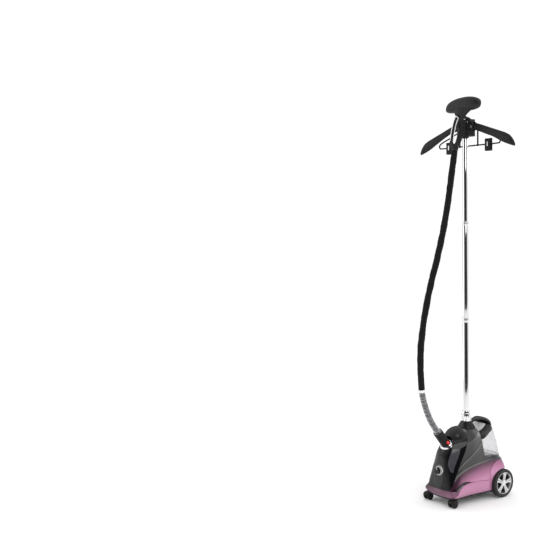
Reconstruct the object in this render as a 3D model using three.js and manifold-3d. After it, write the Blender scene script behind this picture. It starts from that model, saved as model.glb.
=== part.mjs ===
// Upright garment steamer: a wheeled base with a boiler and a lift-off water tank, a telescopic pole
// with a folding clothes hanger and a trouser bar, and a steam hose that ends in a handset.
// Millimetres. +Z is up, -Y is the front (dial side), +X is the right-hand side.
// The origin lies on the floor under the middle of the pole.
import * as THREE from 'three';
import { mergeVertices } from 'three/addons/utils/BufferGeometryUtils.js';
import Module from 'manifold-3d';

const wasm = await Module();
wasm.setup();

// ---------------------------------------------------------------- driving dimensions
const GAP = 0.3; // clearance between pieces that touch
const WALL = 2.5; // moulded wall
const BODY_BOTTOM = 34; // lower edge of the housing above the floor
const BODY_TOP = 266; // top of the neck tower
const REAR_WHEEL = { r: 53.5, width: 26, x: 84.5, y: 103, rimR: 41 };
const ARCH_R = 56.5; // wheel arch radius
const AXLE_R = 4;
const CASTER = { x: 62, y: -128, trail: 13, r: 14, width: 29, discWidth: 9.5 };
const SOCKET = { y: -100, z: 208, tilt: 0.705, r: 27 }; // hose socket, leaning to the front
const CONNECTOR = { r: 16, length: 88 };
const HOSE_R = 11;
const DIAL = { y: -147.6, z: 126, r: 14.5, lean: 0.115 };
const NECK = { bottom: 266.3, top: 292, rBottom: 34, rTop: 20.5 };
const NUT = { top: 332, rBottom: 20, rTop: 15 };
const POLE = {
  lowerR: 12.5, lowerBore: 11.4, lowerBottom: 200, lowerTop: 686,
  middleR: 11, middleBore: 10, middleBottom: 640, middleTop: 1052,
  topR: 9.7, topBore: 8.6, topBottom: 1006, topTop: 1412,
};
const HUB = { halfWidth: 30, front: -14, back: 26, bottom: 1368, top: 1431 };
const ARM = { pivotX: 38, pivotZ: 1402, tipX: 228, tipZ: 1318 };
const BAR = { y: 20, z: 1334, halfSpan: 145, wireR: 2.2 };
const CLIP_X = 95;
const HANDSET = { x: 1, y: -57, z: 1316, leanBack: -0.13, leanSide: 0.1 };
const HEAD = { halfLength: 80, halfDepth: 23, halfHeight: 24, z: 168 };

// ---------------------------------------------------------------- materials
function material(color, roughness, metalness = 0, opacity = 1) {
  return new THREE.MeshStandardMaterial({ color, roughness, metalness, opacity, transparent: opacity < 1 });
}
const satinBlack = material(0x2b2b2d, 0.42);
const glossBlack = material(0x0c0c0e, 0.12);
const softBlack = material(0x1c1c1e, 0.55);
const pink = material(0xb8759b, 0.25, 0.3);
const chrome = material(0xd8d9db, 0.12, 1);
const clearPlastic = material(0xe4e6e8, 0.12, 0, 0.4);
const rubber = material(0x161616, 0.8);
const redPlastic = material(0xd8261c, 0.3);
const fabric = material(0x151517, 0.95);
const silver = material(0xb9babd, 0.35, 0.8);
const castMetal = material(0x9a9ca0, 0.5, 0.9);
const whitePlastic = material(0xe9e9e6, 0.4);
const clearSmoke = material(0x3b3b3e, 0.3);

// ---------------------------------------------------------------- shape helpers
function signedVolume(points, triangles) {
  const [a, b, c] = [new THREE.Vector3(), new THREE.Vector3(), new THREE.Vector3()];
  let sum = 0;
  for (let i = 0; i < triangles.length; i += 3) {
    a.fromArray(points, triangles[i] * 3);
    b.fromArray(points, triangles[i + 1] * 3);
    c.fromArray(points, triangles[i + 2] * 3);
    sum += a.dot(b.cross(c));
  }
  return sum / 6;
}

// A closed geometry as a solid that can be joined and cut, with its faces pointing out.
function solid(geometry) {
  const bare = geometry.clone();
  bare.deleteAttribute('normal');
  bare.deleteAttribute('uv');
  const merged = mergeVertices(bare, 1e-4);
  const source = merged.index.array;
  let triangles = [];
  for (let i = 0; i < source.length; i += 3) {
    const [a, b, c] = [source[i], source[i + 1], source[i + 2]];
    if (a !== b && b !== c && a !== c) triangles.push(a, b, c);
  }
  if (signedVolume(merged.attributes.position.array, triangles) < 0) triangles = triangles.reverse();
  return new wasm.Manifold(new wasm.Mesh({
    numProp: 3,
    vertProperties: new Float32Array(merged.attributes.position.array),
    triVerts: new Uint32Array(triangles),
  }));
}

function geometryOf(body) {
  const mesh = body.getMesh();
  const geometry = new THREE.BufferGeometry();
  geometry.setAttribute('position', new THREE.BufferAttribute(new Float32Array(mesh.vertProperties), 3));
  geometry.setIndex(new THREE.BufferAttribute(new Uint32Array(mesh.triVerts), 1));
  geometry.computeVertexNormals();
  return geometry;
}

function joined(...bodies) {
  return bodies.reduce((whole, body) => whole.add(body));
}

function cut(body, ...tools) {
  return tools.reduce((whole, tool) => whole.subtract(tool), body);
}

// A body of revolution about Z from (radius, height) pairs.
function turned(profile, segments = 18) {
  const points = profile.map(([r, z]) => new THREE.Vector2(r, z));
  return new THREE.LatheGeometry(points, segments).rotateX(Math.PI / 2);
}

function rod(r, z0, z1, segments = 18) {
  return turned([[0, z0], [r, z0], [r, z1], [0, z1]], segments);
}

function ring(outer, inner, z0, z1, segments = 18) {
  return turned([[inner, z0], [outer, z0], [outer, z1], [inner, z1], [inner, z0]], segments);
}

function outline(points) {
  return new THREE.Shape(points.map(([u, v]) => new THREE.Vector2(u, v)));
}

function extruded(shape, depth, bevel = 0, curveSegments = 3) {
  return new THREE.ExtrudeGeometry(shape, {
    depth: depth - 2 * bevel, curveSegments, bevelEnabled: bevel > 0,
    bevelThickness: bevel, bevelSize: bevel, bevelOffset: -bevel, bevelSegments: 1,
  }).translate(0, 0, bevel);
}

// A side outline, given as (y, z) pairs, carried from x0 to x1.
function acrossX(points, x0, x1, bevel = 0) {
  const basis = new THREE.Matrix4().makeBasis(
    new THREE.Vector3(0, 1, 0), new THREE.Vector3(0, 0, 1), new THREE.Vector3(1, 0, 0));
  return extruded(outline(points), x1 - x0, bevel).applyMatrix4(basis).translate(x0, 0, 0);
}

// A front outline, given as a shape in (x, z), carried from y0 to y1.
function acrossY(shape, y0, y1, bevel = 0) {
  const basis = new THREE.Matrix4().makeBasis(
    new THREE.Vector3(1, 0, 0), new THREE.Vector3(0, 0, 1), new THREE.Vector3(0, -1, 0));
  return extruded(shape, y1 - y0, bevel).applyMatrix4(basis).translate(0, y1, 0);
}

function box(x0, x1, y0, y1, z0, z1) {
  return new THREE.BoxGeometry(x1 - x0, y1 - y0, z1 - z0)
    .translate((x0 + x1) / 2, (y0 + y1) / 2, (z0 + z1) / 2);
}

function roundedBox(x0, x1, y0, y1, z0, z1, radius) {
  const shape = new THREE.Shape();
  shape.moveTo(x0 + radius, y0);
  shape.lineTo(x1 - radius, y0);
  shape.absarc(x1 - radius, y0 + radius, radius, -Math.PI / 2, 0);
  shape.absarc(x1 - radius, y1 - radius, radius, 0, Math.PI / 2);
  shape.absarc(x0 + radius, y1 - radius, radius, Math.PI / 2, Math.PI);
  shape.absarc(x0 + radius, y0 + radius, radius, Math.PI, Math.PI * 1.5);
  return extruded(shape, z1 - z0, Math.min(radius, 1.2)).translate(0, 0, z0);
}

// A round tube or wire that follows a smooth curve through the points.
function swept(points, radius, sides, steps) {
  const knots = points.map((p) => new THREE.Vector3(...p));
  const curve = new THREE.CatmullRomCurve3(knots, false, 'catmullrom', 0.5);
  const section = new THREE.Shape();
  for (let i = 0; i < sides; i += 1) {
    const angle = (i / sides) * Math.PI * 2;
    const [u, v] = [Math.cos(angle) * radius, Math.sin(angle) * radius];
    if (i === 0) section.moveTo(u, v);
    else section.lineTo(u, v);
  }
  return new THREE.ExtrudeGeometry(section, { steps, extrudePath: curve, bevelEnabled: false });
}

// A skin over rings with the same number of points, closed by a flat cap at each end.
function loft(rings) {
  const positions = [];
  const triangles = [];
  const n = rings[0].length;
  for (const points of rings) for (const p of points) positions.push(p.x, p.y, p.z);
  for (let level = 0; level < rings.length - 1; level += 1) {
    for (let i = 0; i < n; i += 1) {
      const [a, b] = [level * n + i, level * n + ((i + 1) % n)];
      triangles.push(a, b, b + n, a, b + n, a + n);
    }
  }
  [0, rings.length - 1].forEach((level) => {
    const centre = new THREE.Vector3();
    rings[level].forEach((p) => centre.addScaledVector(p, 1 / n));
    const hub = positions.length / 3;
    positions.push(centre.x, centre.y, centre.z);
    for (let i = 0; i < n; i += 1) {
      const [a, b] = [level * n + i, level * n + ((i + 1) % n)];
      if (level === 0) triangles.push(hub, b, a);
      else triangles.push(hub, a, b);
    }
  });
  const geometry = new THREE.BufferGeometry();
  geometry.setAttribute('position', new THREE.Float32BufferAttribute(positions, 3));
  geometry.setIndex(triangles);
  return geometry;
}

function placed(geometry, x, y, z, rx = 0, ry = 0, rz = 0) {
  const turn = new THREE.Quaternion().setFromEuler(new THREE.Euler(rx, ry, rz));
  return geometry.applyMatrix4(
    new THREE.Matrix4().compose(new THREE.Vector3(x, y, z), turn, new THREE.Vector3(1, 1, 1)));
}

const steamer = new THREE.Group();

function piece(name, body, look, parent = steamer) {
  const mesh = new THREE.Mesh(geometryOf(body), look.clone());
  mesh.name = name;
  parent.add(mesh);
  return mesh;
}

const SIDES = [['right', 1], ['left', -1]];

// ---------------------------------------------------------------- housing
// Plan outlines of the housing, from the floor edge up to the neck tower:
// [z, front y, corner x, corner y, waist x, hip x, hip y, rear y]
const PLANS = [
  [BODY_BOTTOM, -155, 66, -143, 71, 84, 112, 140],
  [47, -159.5, 73, -146, 76, 86, 116, 144],
  [62, -155, 65, -140, 77, 88, 118, 147],
  [90, -151, 58, -135, 77.5, 89, 120, 148],
  [120, -147, 52, -130, 76, 87, 113, 142],
  [150, -142, 45, -125, 74.5, 83, 98, 130],
  [190, -134, 38, -116, 71.5, 76, 88, 118],
  [228, -106, 32, -88, 66, 66, 76, 104],
  [252, -72, 26, -56, 50, 46, 54, 76],
  [BODY_TOP, -46, 20, -34, 33, 27, 36, 46],
];
const PLAN_POINTS = 32;
const LEVELS_PER_PLAN = 1;

function planControls([z, front, cornerX, cornerY, waistX, hipX, hipY, rear]) {
  const along = (t) => cornerY + (hipY - cornerY) * t;
  const right = [
    [cornerX * 0.55, front + (cornerY - front) * 0.25], [cornerX, cornerY],
    [waistX, along(0.33)], [waistX * 0.35 + hipX * 0.65, along(0.72)],
    [hipX, hipY], [hipX * 0.6, rear - (rear - hipY) * 0.2],
  ];
  const left = right.map(([x, y]) => [-x, y]).reverse();
  return [[0, front], ...right, [0, rear], ...left].map(([x, y]) => new THREE.Vector3(x, y, z));
}

function insetRing(points, inset) {
  return points.map((p, i) => {
    const before = points[(i + points.length - 1) % points.length];
    const after = points[(i + 1) % points.length];
    const along = after.clone().sub(before).setZ(0).normalize();
    return new THREE.Vector3(p.x - along.y * inset, p.y + along.x * inset, p.z);
  });
}

function planRings(plans, inset) {
  const controls = plans.map(planControls);
  const columns = controls[0].map((_, i) => (
    new THREE.CatmullRomCurve3(controls.map((row) => row[i]), false, 'catmullrom', 0.5)));
  const count = (plans.length - 1) * LEVELS_PER_PLAN;
  return Array.from({ length: count + 1 }, (_, level) => {
    const row = columns.map((column) => column.getPoint(level / count));
    const edge = new THREE.CatmullRomCurve3(row, true, 'centripetal');
    const points = edge.getPoints(PLAN_POINTS).slice(0, PLAN_POINTS);
    return insetRing(points, inset);
  });
}

function housingLoft(inset, bottom, top) {
  const rings = planRings(PLANS, inset);
  rings[0].forEach((p) => { p.z = bottom; });
  rings[rings.length - 1].forEach((p) => { p.z = top; });
  return solid(loft(rings));
}

// The hollow at the back where the tank stands, as a side outline grown by a margin.
function tankZone(margin) {
  const sides = solid(acrossX([
    [15 - margin, 156 - margin], [12 - margin, 205], [11 - margin, 228], [20 - margin, 257],
    [22 - margin, 320], [200, 320], [200, 130 - margin],
  ], -130, 130));
  const tower = solid(acrossX([
    [0, 170 + margin], [10 - margin, 184], [40 - margin, 246.5 + margin], [40 - margin, 330], [0, 330],
  ], -27 + margin, 27 - margin));
  const spine = solid(box(-22 + margin, 22 - margin, 0, 20.5 - margin, 100, 245));
  return cut(sides, tower, spine);
}

const socketDirection = new THREE.Vector3(0, -Math.sin(SOCKET.tilt), Math.cos(SOCKET.tilt));
function onSocket(geometry) {
  return placed(geometry, 0, SOCKET.y, SOCKET.z, SOCKET.tilt);
}

function wheelWell(extra = 0) {
  const radius = ARCH_R + extra;
  return SIDES.map(([, s]) => solid(
    placed(rod(radius, 0, 60, 30), s * (REAR_WHEEL.x - 15), REAR_WHEEL.y, REAR_WHEEL.r, 0, s * Math.PI / 2)));
}

const outer = cut(housingLoft(0, BODY_BOTTOM, BODY_TOP), tankZone(0));
const inner = cut(housingLoft(WALL, BODY_BOTTOM - 4, BODY_TOP - 4), tankZone(WALL));
const socketHole = solid(onSocket(rod(SOCKET.r + GAP, -32, 60)));
const poleHole = solid(rod(15.4, BODY_TOP - 12, BODY_TOP + 10, 20));
const inletHole = solid(placed(rod(9, -20, 20, 20), 0, 140, 62, Math.PI / 2));
const shell = cut(outer, inner, socketHole, poleHole, ...wheelWell(), inletHole);

// Side-view lines where the housing comes apart.
const BEZEL_EDGE = [[-149.6, 60], [-120, 113], [-44, 249], [-34, 270]];
const COWL_EDGE = [[-57, 226], [20, 257], [60, 273]];
const ROCKER_EDGE = [[-150, 30], [-143, 36], [-107, 67], [-78, 79], [-20, 81], [37, 75]];
const FENDER_EDGE = [[38, 30], [37, 75], [42, 112], [60, 134], [86, 152]];

// Thin cutters that open a seam along a line.
function seam(points, width = GAP) {
  const curve = points.map(([y, z]) => new THREE.Vector2(y, z));
  const side = (sign) => curve.map((p, i) => {
    const before = curve[Math.max(i - 1, 0)];
    const after = curve[Math.min(i + 1, curve.length - 1)];
    const along = after.clone().sub(before).normalize();
    return [p.x - along.y * sign * width / 2, p.y + along.x * sign * width / 2];
  });
  return solid(acrossX([...side(1), ...side(-1).reverse()], -130, 130));
}

const seams = [
  seam(BEZEL_EDGE), seam(COWL_EDGE), seam(ROCKER_EDGE), seam(FENDER_EDGE),
  seam([[-190, 60], [-110, 60]]), solid(box(-GAP / 2, GAP / 2, -149, 150, 30, 270)),
].reduce((all, one) => all.add(one));

function region(points, x0 = -130, x1 = 130) {
  return shell.intersect(solid(acrossX(points, x0, x1)));
}

function addHousing() {
  const bezel = cut(
    region([...BEZEL_EDGE, [-34, 300], [-220, 300], [-220, 60]]),
    seam(BEZEL_EDGE), seam([[-190, 60], [-110, 60]]),
    solid(placed(rod(6, -20, 20, 20), 0, DIAL.y, DIAL.z, Math.PI / 2)), hoodCutter());
  piece('front_bezel', bezel, glossBlack);

  const cowl = cut(
    region([[-57, 226], [20, 257], [60, 273], [60, 300], [-34, 300], [-34, 270], [-44, 249]]),
    seam(BEZEL_EDGE), seam(COWL_EDGE), hoodCutter());
  piece('top_cowl', cowl, satinBlack);

  const skirt = cut(
    region([[-220, 20], [-152, 20], ...ROCKER_EDGE.slice(0, 2), [-115, 60], [-220, 60]]), seams);
  piece('front_skirt', skirt, pink);

  const sidePanel = [
    [-149.6, 60], [-115, 60], ...ROCKER_EDGE.slice(2, -1), ...FENDER_EDGE.slice(1), [86, 157], [16, 157],
    [20, 257], [-57, 226], [-120, 113]];
  const rocker = [...ROCKER_EDGE, [37, 30]];
  const rear = [...FENDER_EDGE, [86, 180], [180, 180], [180, 30]];
  SIDES.forEach(([side, s]) => {
    const [low, high] = s > 0 ? [0, 130] : [-130, 0];
    piece(`body_shell_${side}`, cut(region(sidePanel, low, high), seams), satinBlack);
    piece(`rocker_panel_${side}`, cut(region(rocker, low, high), seams), pink);
    const [near, far] = s > 0 ? [62, 130] : [-130, -62];
    piece(`fender_${side}`, cut(region(rear, near, far), seams), pink);
  });
  piece('rear_housing', cut(region(rear, -62 + GAP, 62 - GAP), seam(FENDER_EDGE)), pink);
}

// ---------------------------------------------------------------- base tray and rear axle
function addTray() {
  const edge = planRings(PLANS, 0)[0];
  const flat = (inset, z) => insetRing(edge, inset).map((p) => new THREE.Vector3(p.x, p.y, z));
  const pan = cut(
    solid(loft([flat(1.6, 29.5), flat(0.6, 31), flat(0.6, BODY_BOTTOM - GAP),
      flat(WALL + 0.8, BODY_BOTTOM - GAP + 0.01), flat(WALL + 0.8, 42)])),
    solid(loft([flat(WALL + 3, 33), flat(WALL + 3, 50)])));
  const carrier = solid(acrossX([[58, 31], [66, 18], [128, 18], [134, 31]], -66, 66));
  const bosses = SIDES.map(([, s]) => solid(placed(rod(6.8, 30, 52, 16), s * CASTER.x, CASTER.y, 0)));
  const stemHoles = SIDES.map(([, s]) => solid(placed(rod(3.9, 20, 48, 16), s * CASTER.x, CASTER.y, 0)));
  const brackets = SIDES.map(([, s]) => cut(
    solid(acrossX([[46, 31.5], [40, 60], [48, 104], [74, 122], [112, 116], [122, 92], [122, 31.5]],
      s * 66 - 2, s * 66 + 2)),
    solid(placed(rod(AXLE_R + 0.4, -10, 10, 20), s * 66, REAR_WHEEL.y, REAR_WHEEL.r, 0, Math.PI / 2))));
  const tray = cut(
    joined(pan, carrier, ...bosses, ...brackets), ...stemHoles, ...wheelWell(1.5),
    solid(placed(rod(6.4, 10, 40, 20), 0, 30, 0)));
  piece('base_tray', tray, softBlack);
  const shaft = placed(rod(AXLE_R, -95, 95, 20), 0, REAR_WHEEL.y, REAR_WHEEL.r, 0, Math.PI / 2);
  piece('axle', solid(shaft), castMetal);
  piece('drain_plug', solid(placed(turned([
    [0, 27], [9, 27], [10, 28], [10, 29.1], [6, 29.1], [6, 38], [0, 38]], 20), 0, 30, 0)), softBlack);
}

function addRearWheel(side, s) {
  const half = REAR_WHEEL.width / 2;
  const wheel = new THREE.Group();
  wheel.position.set(s * REAR_WHEEL.x, REAR_WHEEL.y, REAR_WHEEL.r);
  wheel.rotation.y = s * Math.PI / 2;
  steamer.add(wheel);
  const tyre = turned([
    [REAR_WHEEL.rimR, -half + 1], [REAR_WHEEL.rimR + 3, -half], [REAR_WHEEL.r - 3, -half],
    [REAR_WHEEL.r, -half + 4], [REAR_WHEEL.r, half - 4], [REAR_WHEEL.r - 3, half], [REAR_WHEEL.rimR + 3, half],
    [REAR_WHEEL.rimR, half - 1], [REAR_WHEEL.rimR, -half + 1]], 30);
  piece(`tyre_${side}`, solid(tyre), rubber, wheel);
  const barrel = solid(ring(REAR_WHEEL.rimR - GAP, REAR_WHEEL.rimR - 4, -half + 2, half - 1, 30));
  const hub = solid(turned([[0, -half + 2], [8, -half + 2], [8, half - 5], [10, half - 3], [8, half - 0.5],
    [0, half]], 16));
  const spokes = [];
  const SPOKES = 5;
  for (let i = 0; i < SPOKES; i += 1) {
    for (const lean of [-1, 1]) {
      const spoke = box(-2.2, 2.2, 5, REAR_WHEEL.rimR - 2, half - 7, half - 2)
        .translate(lean * 4.6, 0, 0).rotateZ((i / SPOKES) * Math.PI * 2);
      spokes.push(solid(spoke));
    }
  }
  const bore = solid(rod(AXLE_R + 0.1, -half, half - 2.2, 20));
  piece(`rim_${side}`, cut(joined(barrel, hub, ...spokes), bore), silver, wheel);
}

function addCaster(side, s) {
  const caster = new THREE.Group();
  caster.position.set(s * CASTER.x, CASTER.y, 0);
  steamer.add(caster);
  const web = solid(acrossX([
    [3, 28], [-7, 28], [-16, 25], [-CASTER.trail - 6, 14], [-CASTER.trail, 8], [-CASTER.trail + 6, 10], [4, 22],
  ], -4, 4));
  const flange = solid(turned([[0, 27], [8, 27], [8, 29.1], [3.6, 29.1], [3.6, 46], [0, 46]], 16));
  const hole = solid(placed(rod(2.9, -10, 10, 16), 0, -CASTER.trail, CASTER.r, 0, Math.PI / 2));
  piece(`caster_fork_${side}`, cut(joined(web, flange), hole), softBlack, caster);
  const half = CASTER.width / 2;
  const inside = half - CASTER.discWidth;
  const wheels = turned([
    [0, -half], [10, -half], [CASTER.r - 1.5, -half + 0.6], [CASTER.r, -half + 2.5], [CASTER.r, -inside - 1],
    [CASTER.r - 1, -inside], [2.6, -inside], [2.6, inside], [CASTER.r - 1, inside], [CASTER.r, inside + 1],
    [CASTER.r, half - 2.5], [CASTER.r - 1.5, half - 0.6], [10, half], [0, half]], 18);
  piece(`caster_wheels_${side}`,
    solid(placed(wheels, 0, -CASTER.trail, CASTER.r, 0, Math.PI / 2)), softBlack, caster);
}

// ---------------------------------------------------------------- dial, socket and hose connector
function addDial() {
  const shape = new THREE.Shape();
  shape.moveTo(-15, 176);
  shape.quadraticCurveTo(0, 181, 15, 176);
  shape.lineTo(21, 140);
  shape.lineTo(22, 84);
  shape.quadraticCurveTo(21, 62.5, 0, 61.5);
  shape.quadraticCurveTo(-21, 62.5, -22, 84);
  shape.lineTo(-21, 140);
  shape.closePath();
  const layer = cut(housingLoft(-2.4, BODY_BOTTOM, BODY_TOP), housingLoft(-GAP, BODY_BOTTOM - 2, BODY_TOP + 2));
  const panel = cut(
    layer.intersect(solid(acrossY(shape, -200, -100))),
    solid(placed(rod(6, -20, 20, 20), 0, DIAL.y, DIAL.z, Math.PI / 2)));
  piece('dial_panel', panel, softBlack);

  const dial = new THREE.Group();
  dial.position.set(0, DIAL.y - 3.2, DIAL.z);
  dial.rotation.x = Math.PI / 2 - DIAL.lean;
  steamer.add(dial);
  const knob = joined(
    solid(turned([[0, -10], [4.5, -10], [4.5, 0.4], [DIAL.r, 0.4], [DIAL.r - 0.6, 9], [DIAL.r - 2, 10.5],
      [DIAL.r - 4, 10.5], [0, 10.5]], 20)),
    solid(box(-1.1, 1.1, 1, 10, 10, 11.2)));
  piece('dial_knob', knob, glossBlack, dial);
  const switchBody = joined(
    solid(box(-15, 15, -133, -112, 112, 140)),
    solid(placed(rod(3, 0, 6, 16), 0, -131, DIAL.z, Math.PI / 2)));
  piece('control_switch', switchBody, softBlack);
}

function addConnector() {
  const socket = new THREE.Group();
  socket.position.set(0, SOCKET.y, SOCKET.z);
  socket.rotation.x = SOCKET.tilt;
  steamer.add(socket);
  const cup = turned([[17, -28], [SOCKET.r, -28], [SOCKET.r, -2], [SOCKET.r - 2, 0], [17, 0], [17, -28]], 20);
  piece('hose_socket', solid(cup), glossBlack, socket);
  const knurled = new THREE.Shape();
  const RIBS = 16;
  for (let i = 0; i < RIBS * 2; i += 1) {
    const radius = i % 2 ? 24.4 : 25.2;
    const angle = (i / RIBS) * Math.PI;
    if (i === 0) knurled.moveTo(radius, 0);
    else knurled.lineTo(Math.cos(angle) * radius, Math.sin(angle) * radius);
  }
  const collar = joined(
    solid(extruded(knurled, 9).translate(0, 0, GAP)), solid(turned([[0, 9], [24, 9], [21, 14], [0, 14]], 20)));
  piece('connector_ring', cut(collar, solid(rod(CONNECTOR.r + 0.8, -5, 20, 20))), chrome, socket);

  const tube = solid(turned([
    [0, -24], [CONNECTOR.r, -24], [CONNECTOR.r, CONNECTOR.length - 3], [CONNECTOR.r - 2, CONNECTOR.length],
    [0, CONNECTOR.length]], 20));
  const steamWay = solid(rod(6, -26, 76, 20));
  const hoseBore = solid(rod(HOSE_R + 0.5, CONNECTOR.length - 14, CONNECTOR.length + 2, 20));
  const pocketFloor = solid(rod(CONNECTOR.r - 5, -30, CONNECTOR.length, 20));
  const pocket = cut(solid(buttonShape(5.9, 8.9, 5, 25)), pocketFloor);
  piece('hose_connector', cut(tube, steamWay, hoseBore, pocket), softBlack, socket);
  piece('release_button', solid(buttonShape(5.5, 8.5, 13.4, CONNECTOR.r + 2.6)), redPlastic, socket);
}

// An oval plug on the right-hand side of the connector, from x0 to x1.
function buttonShape(halfWidth, halfLength, x0, x1) {
  const shape = new THREE.Shape();
  shape.absellipse(0, 0, halfLength, halfWidth, 0, Math.PI * 2);
  return extruded(shape, x1 - x0, 0.6, 8).rotateY(Math.PI / 2).translate(x0, 0, 28);
}

// An egg-shaped solid, tipped forward, where the hood bulges out of the housing.
function egg(rx, ry, rz, across, down) {
  return solid(new THREE.SphereGeometry(1, across, down).scale(rx, ry, rz).rotateX(0.25).translate(0, -52, 234));
}

function hoodCutter() {
  return cut(egg(45.6, 54, 44, 20, 12), solid(box(-90, 90, -160, 60, 130, 226)));
}

function addHood() {
  const hood = cut(
    egg(45.2, 53.6, 43.6, 20, 12), egg(42.6, 51, 41, 18, 10), solid(box(-90, 90, -160, 60, 130, 226.4)),
    solid(onSocket(rod(SOCKET.r + 0.4, -60, 90))), solid(rod(NECK.rBottom + 1, 200, 330, 20)),
    solid(box(-90, 90, -28, 60, 130, 330)));
  piece('dome_hood', hood, glossBlack);
}

// ---------------------------------------------------------------- neck, lock nut and pole
function addNeckAndPole() {
  const FACETS = 10;
  const cone = cut(
    solid(turned([[0, NECK.bottom], [NECK.rBottom, NECK.bottom], [NECK.rBottom, NECK.bottom + 2],
      [NECK.rTop + 1, NECK.top - 4], [NECK.rTop, NECK.top], [0, NECK.top]], FACETS)),
    solid(rod(15.4, 250, 290, 20)), solid(rod(POLE.lowerR + GAP, 280, 300, 20)));
  piece('neck_cone', cone, glossBlack);

  const FLUTES = 16;
  const fluted = new THREE.Shape();
  for (let i = 0; i < FLUTES * 2; i += 1) {
    const radius = i % 2 ? NUT.rBottom - 1 : NUT.rBottom;
    const angle = (i / FLUTES) * Math.PI;
    if (i === 0) fluted.moveTo(radius, 0);
    else fluted.lineTo(Math.cos(angle) * radius, Math.sin(angle) * radius);
  }
  const nut = cut(
    joined(solid(extruded(fluted, 20).translate(0, 0, NECK.top + GAP)),
      solid(turned([[0, 308], [NUT.rBottom - 1.2, 308], [NUT.rBottom - 1.4, 314], [NUT.rTop + 0.8, NUT.top - 4],
        [NUT.rTop, NUT.top - 2], [NUT.rTop - 0.6, NUT.top], [0, NUT.top]], 20))),
    solid(rod(POLE.lowerR + GAP, 280, 340, 20)));
  piece('lock_nut', nut, chrome);

  const socket = joined(solid(ring(15, POLE.lowerR + GAP, 34, 279, 20)), solid(ring(24, 14, 33.4, 38, 20)));
  piece('pole_socket', socket, softBlack);
  const collar = (r, top) => solid(turned([
    [r - 1, top - 16], [r + 1.6, top - 16], [r + 2, top - 14], [r + 2, top - 1], [r + 1, top], [r - 1, top],
    [r - 1, top - 16]], 20));
  piece('pole_lower_tube', joined(
    solid(ring(POLE.lowerR, POLE.lowerBore, POLE.lowerBottom, POLE.lowerTop, 20)),
    collar(POLE.lowerR, POLE.lowerTop)), chrome);
  piece('pole_middle_tube', joined(
    solid(ring(POLE.middleR, POLE.middleBore, POLE.middleBottom, POLE.middleTop, 20)),
    collar(POLE.middleR, POLE.middleTop)), chrome);
  piece('pole_top_tube', solid(ring(POLE.topR, POLE.topBore, POLE.topBottom, POLE.topTop, 20)), chrome);
}

// ---------------------------------------------------------------- tank, lid and carry handle
const TANK_PLANS = [
  [163, 74, 18, 104, 131], [200, 72, 15.5, 96, 124], [228, 69.5, 14.5, 86, 116], [250, 66, 22, 80, 110],
  [272, 59, 26, 76, 104],
];
function tankRings(inset, plans = TANK_PLANS) {
  return plans.map(([z, half, front, hip, rear]) => {
    const right = [[half * 0.9, front], [half, front + 6], [half, (front + hip) / 2], [half * 0.93, hip],
      [half * 0.55, rear - 5]];
    const left = right.map(([x, y]) => [-x, y]).reverse();
    const row = [[0, front], ...right, [0, rear], ...left].map(([x, y]) => new THREE.Vector3(x, y, z));
    const points = new THREE.CatmullRomCurve3(row, true, 'centripetal').getPoints(28).slice(0, 28);
    return insetRing(points, inset);
  });
}

// Everything under the sloping joint between the tank and its lid.
function underLid(offset) {
  return solid(acrossX([[-10, 100], [-10, 218 + offset], [11, 228 + offset], [96, 269.5 + offset],
    [150, 296 + offset], [150, 100]], -100, 100));
}

function addTank() {
  const rings = tankRings(0);
  rings[0].forEach((p) => { p.z = 150; });
  const seatTop = solid(acrossX([[-10, 120], [-10, 165.9], [15, 162.4], [150, 143.4], [150, 120]], -100, 100));
  const channel = (margin) => solid(box(-23 - margin, 23 + margin, 0, 21.5 + margin, 140, 290));
  const block = cut(solid(loft(rings)), seatTop, channel(0));
  const whole = block.intersect(underLid(-GAP)).intersect(tankZone(-GAP));
  const insetRings = tankRings(2.2);
  insetRings[0].forEach((p) => { p.z = 150; });
  insetRings[insetRings.length - 1].forEach((p) => { p.z = 285; });
  const floor = solid(acrossX([[-10, 120], [-10, 168.4], [15, 164.9], [150, 145.9], [150, 120]], -100, 100));
  const hollow = cut(solid(loft(insetRings)), floor, channel(2.2)).intersect(tankZone(-2.5));
  const valveHole = solid(placed(rod(8.4, 120, 180, 20), -30, 88, 0));
  piece('water_tank', cut(whole, hollow, valveHole), clearPlastic);

  const seatTilt = Math.atan2(19, 135);
  const cap = turned([[0, -3.5], [7, -3.5], [7, -0.4], [8, 0], [8, 5], [5, 7], [0, 7]], 20);
  piece('tank_valve', solid(placed(cap, -30, 88, 152.6, -seatTilt)), whitePlastic);

  const lidRings = tankRings(0);
  const trough = solid(acrossX([[-5, 222], [11, 232], [47, 251], [78, 274], [78, 330], [-5, 330]], -30, 30));
  const coneSpace = solid(rod(NECK.rBottom + 2, 258, 300));
  const lid = cut(solid(loft(lidRings)), underLid(0), trough, coneSpace).intersect(tankZone(-GAP));
  piece('tank_lid', lid, softBlack);

  const strap = solid(acrossX([[31, 281], [26, 290], [52, 297], [78, 296], [98, 290], [112, 280], [116, 272.4],
    [84, 272.4], [78, 280], [58, 284]], -10, 10, 1));
  const saddleRing = (z, half, front, rear) => {
    const shape = [[0, front], [half * 0.85, front], [half, front + 4], [half, rear - 6], [half * 0.8, rear],
      [0, rear + 3], [-half * 0.8, rear], [-half, rear - 6], [-half, front + 4], [-half * 0.85, front]];
    return shape.map(([x, y]) => new THREE.Vector3(x, y, z));
  };
  const saddle = solid(loft([
    saddleRing(272.4, 50, 80, 98), saddleRing(279, 36, 80, 101), saddleRing(286, 22, 79, 99),
    saddleRing(291, 12, 78, 96), saddleRing(294, 9.4, 77, 92)]));
  piece('carry_handle', joined(strap, saddle), satinBlack);
}

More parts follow.
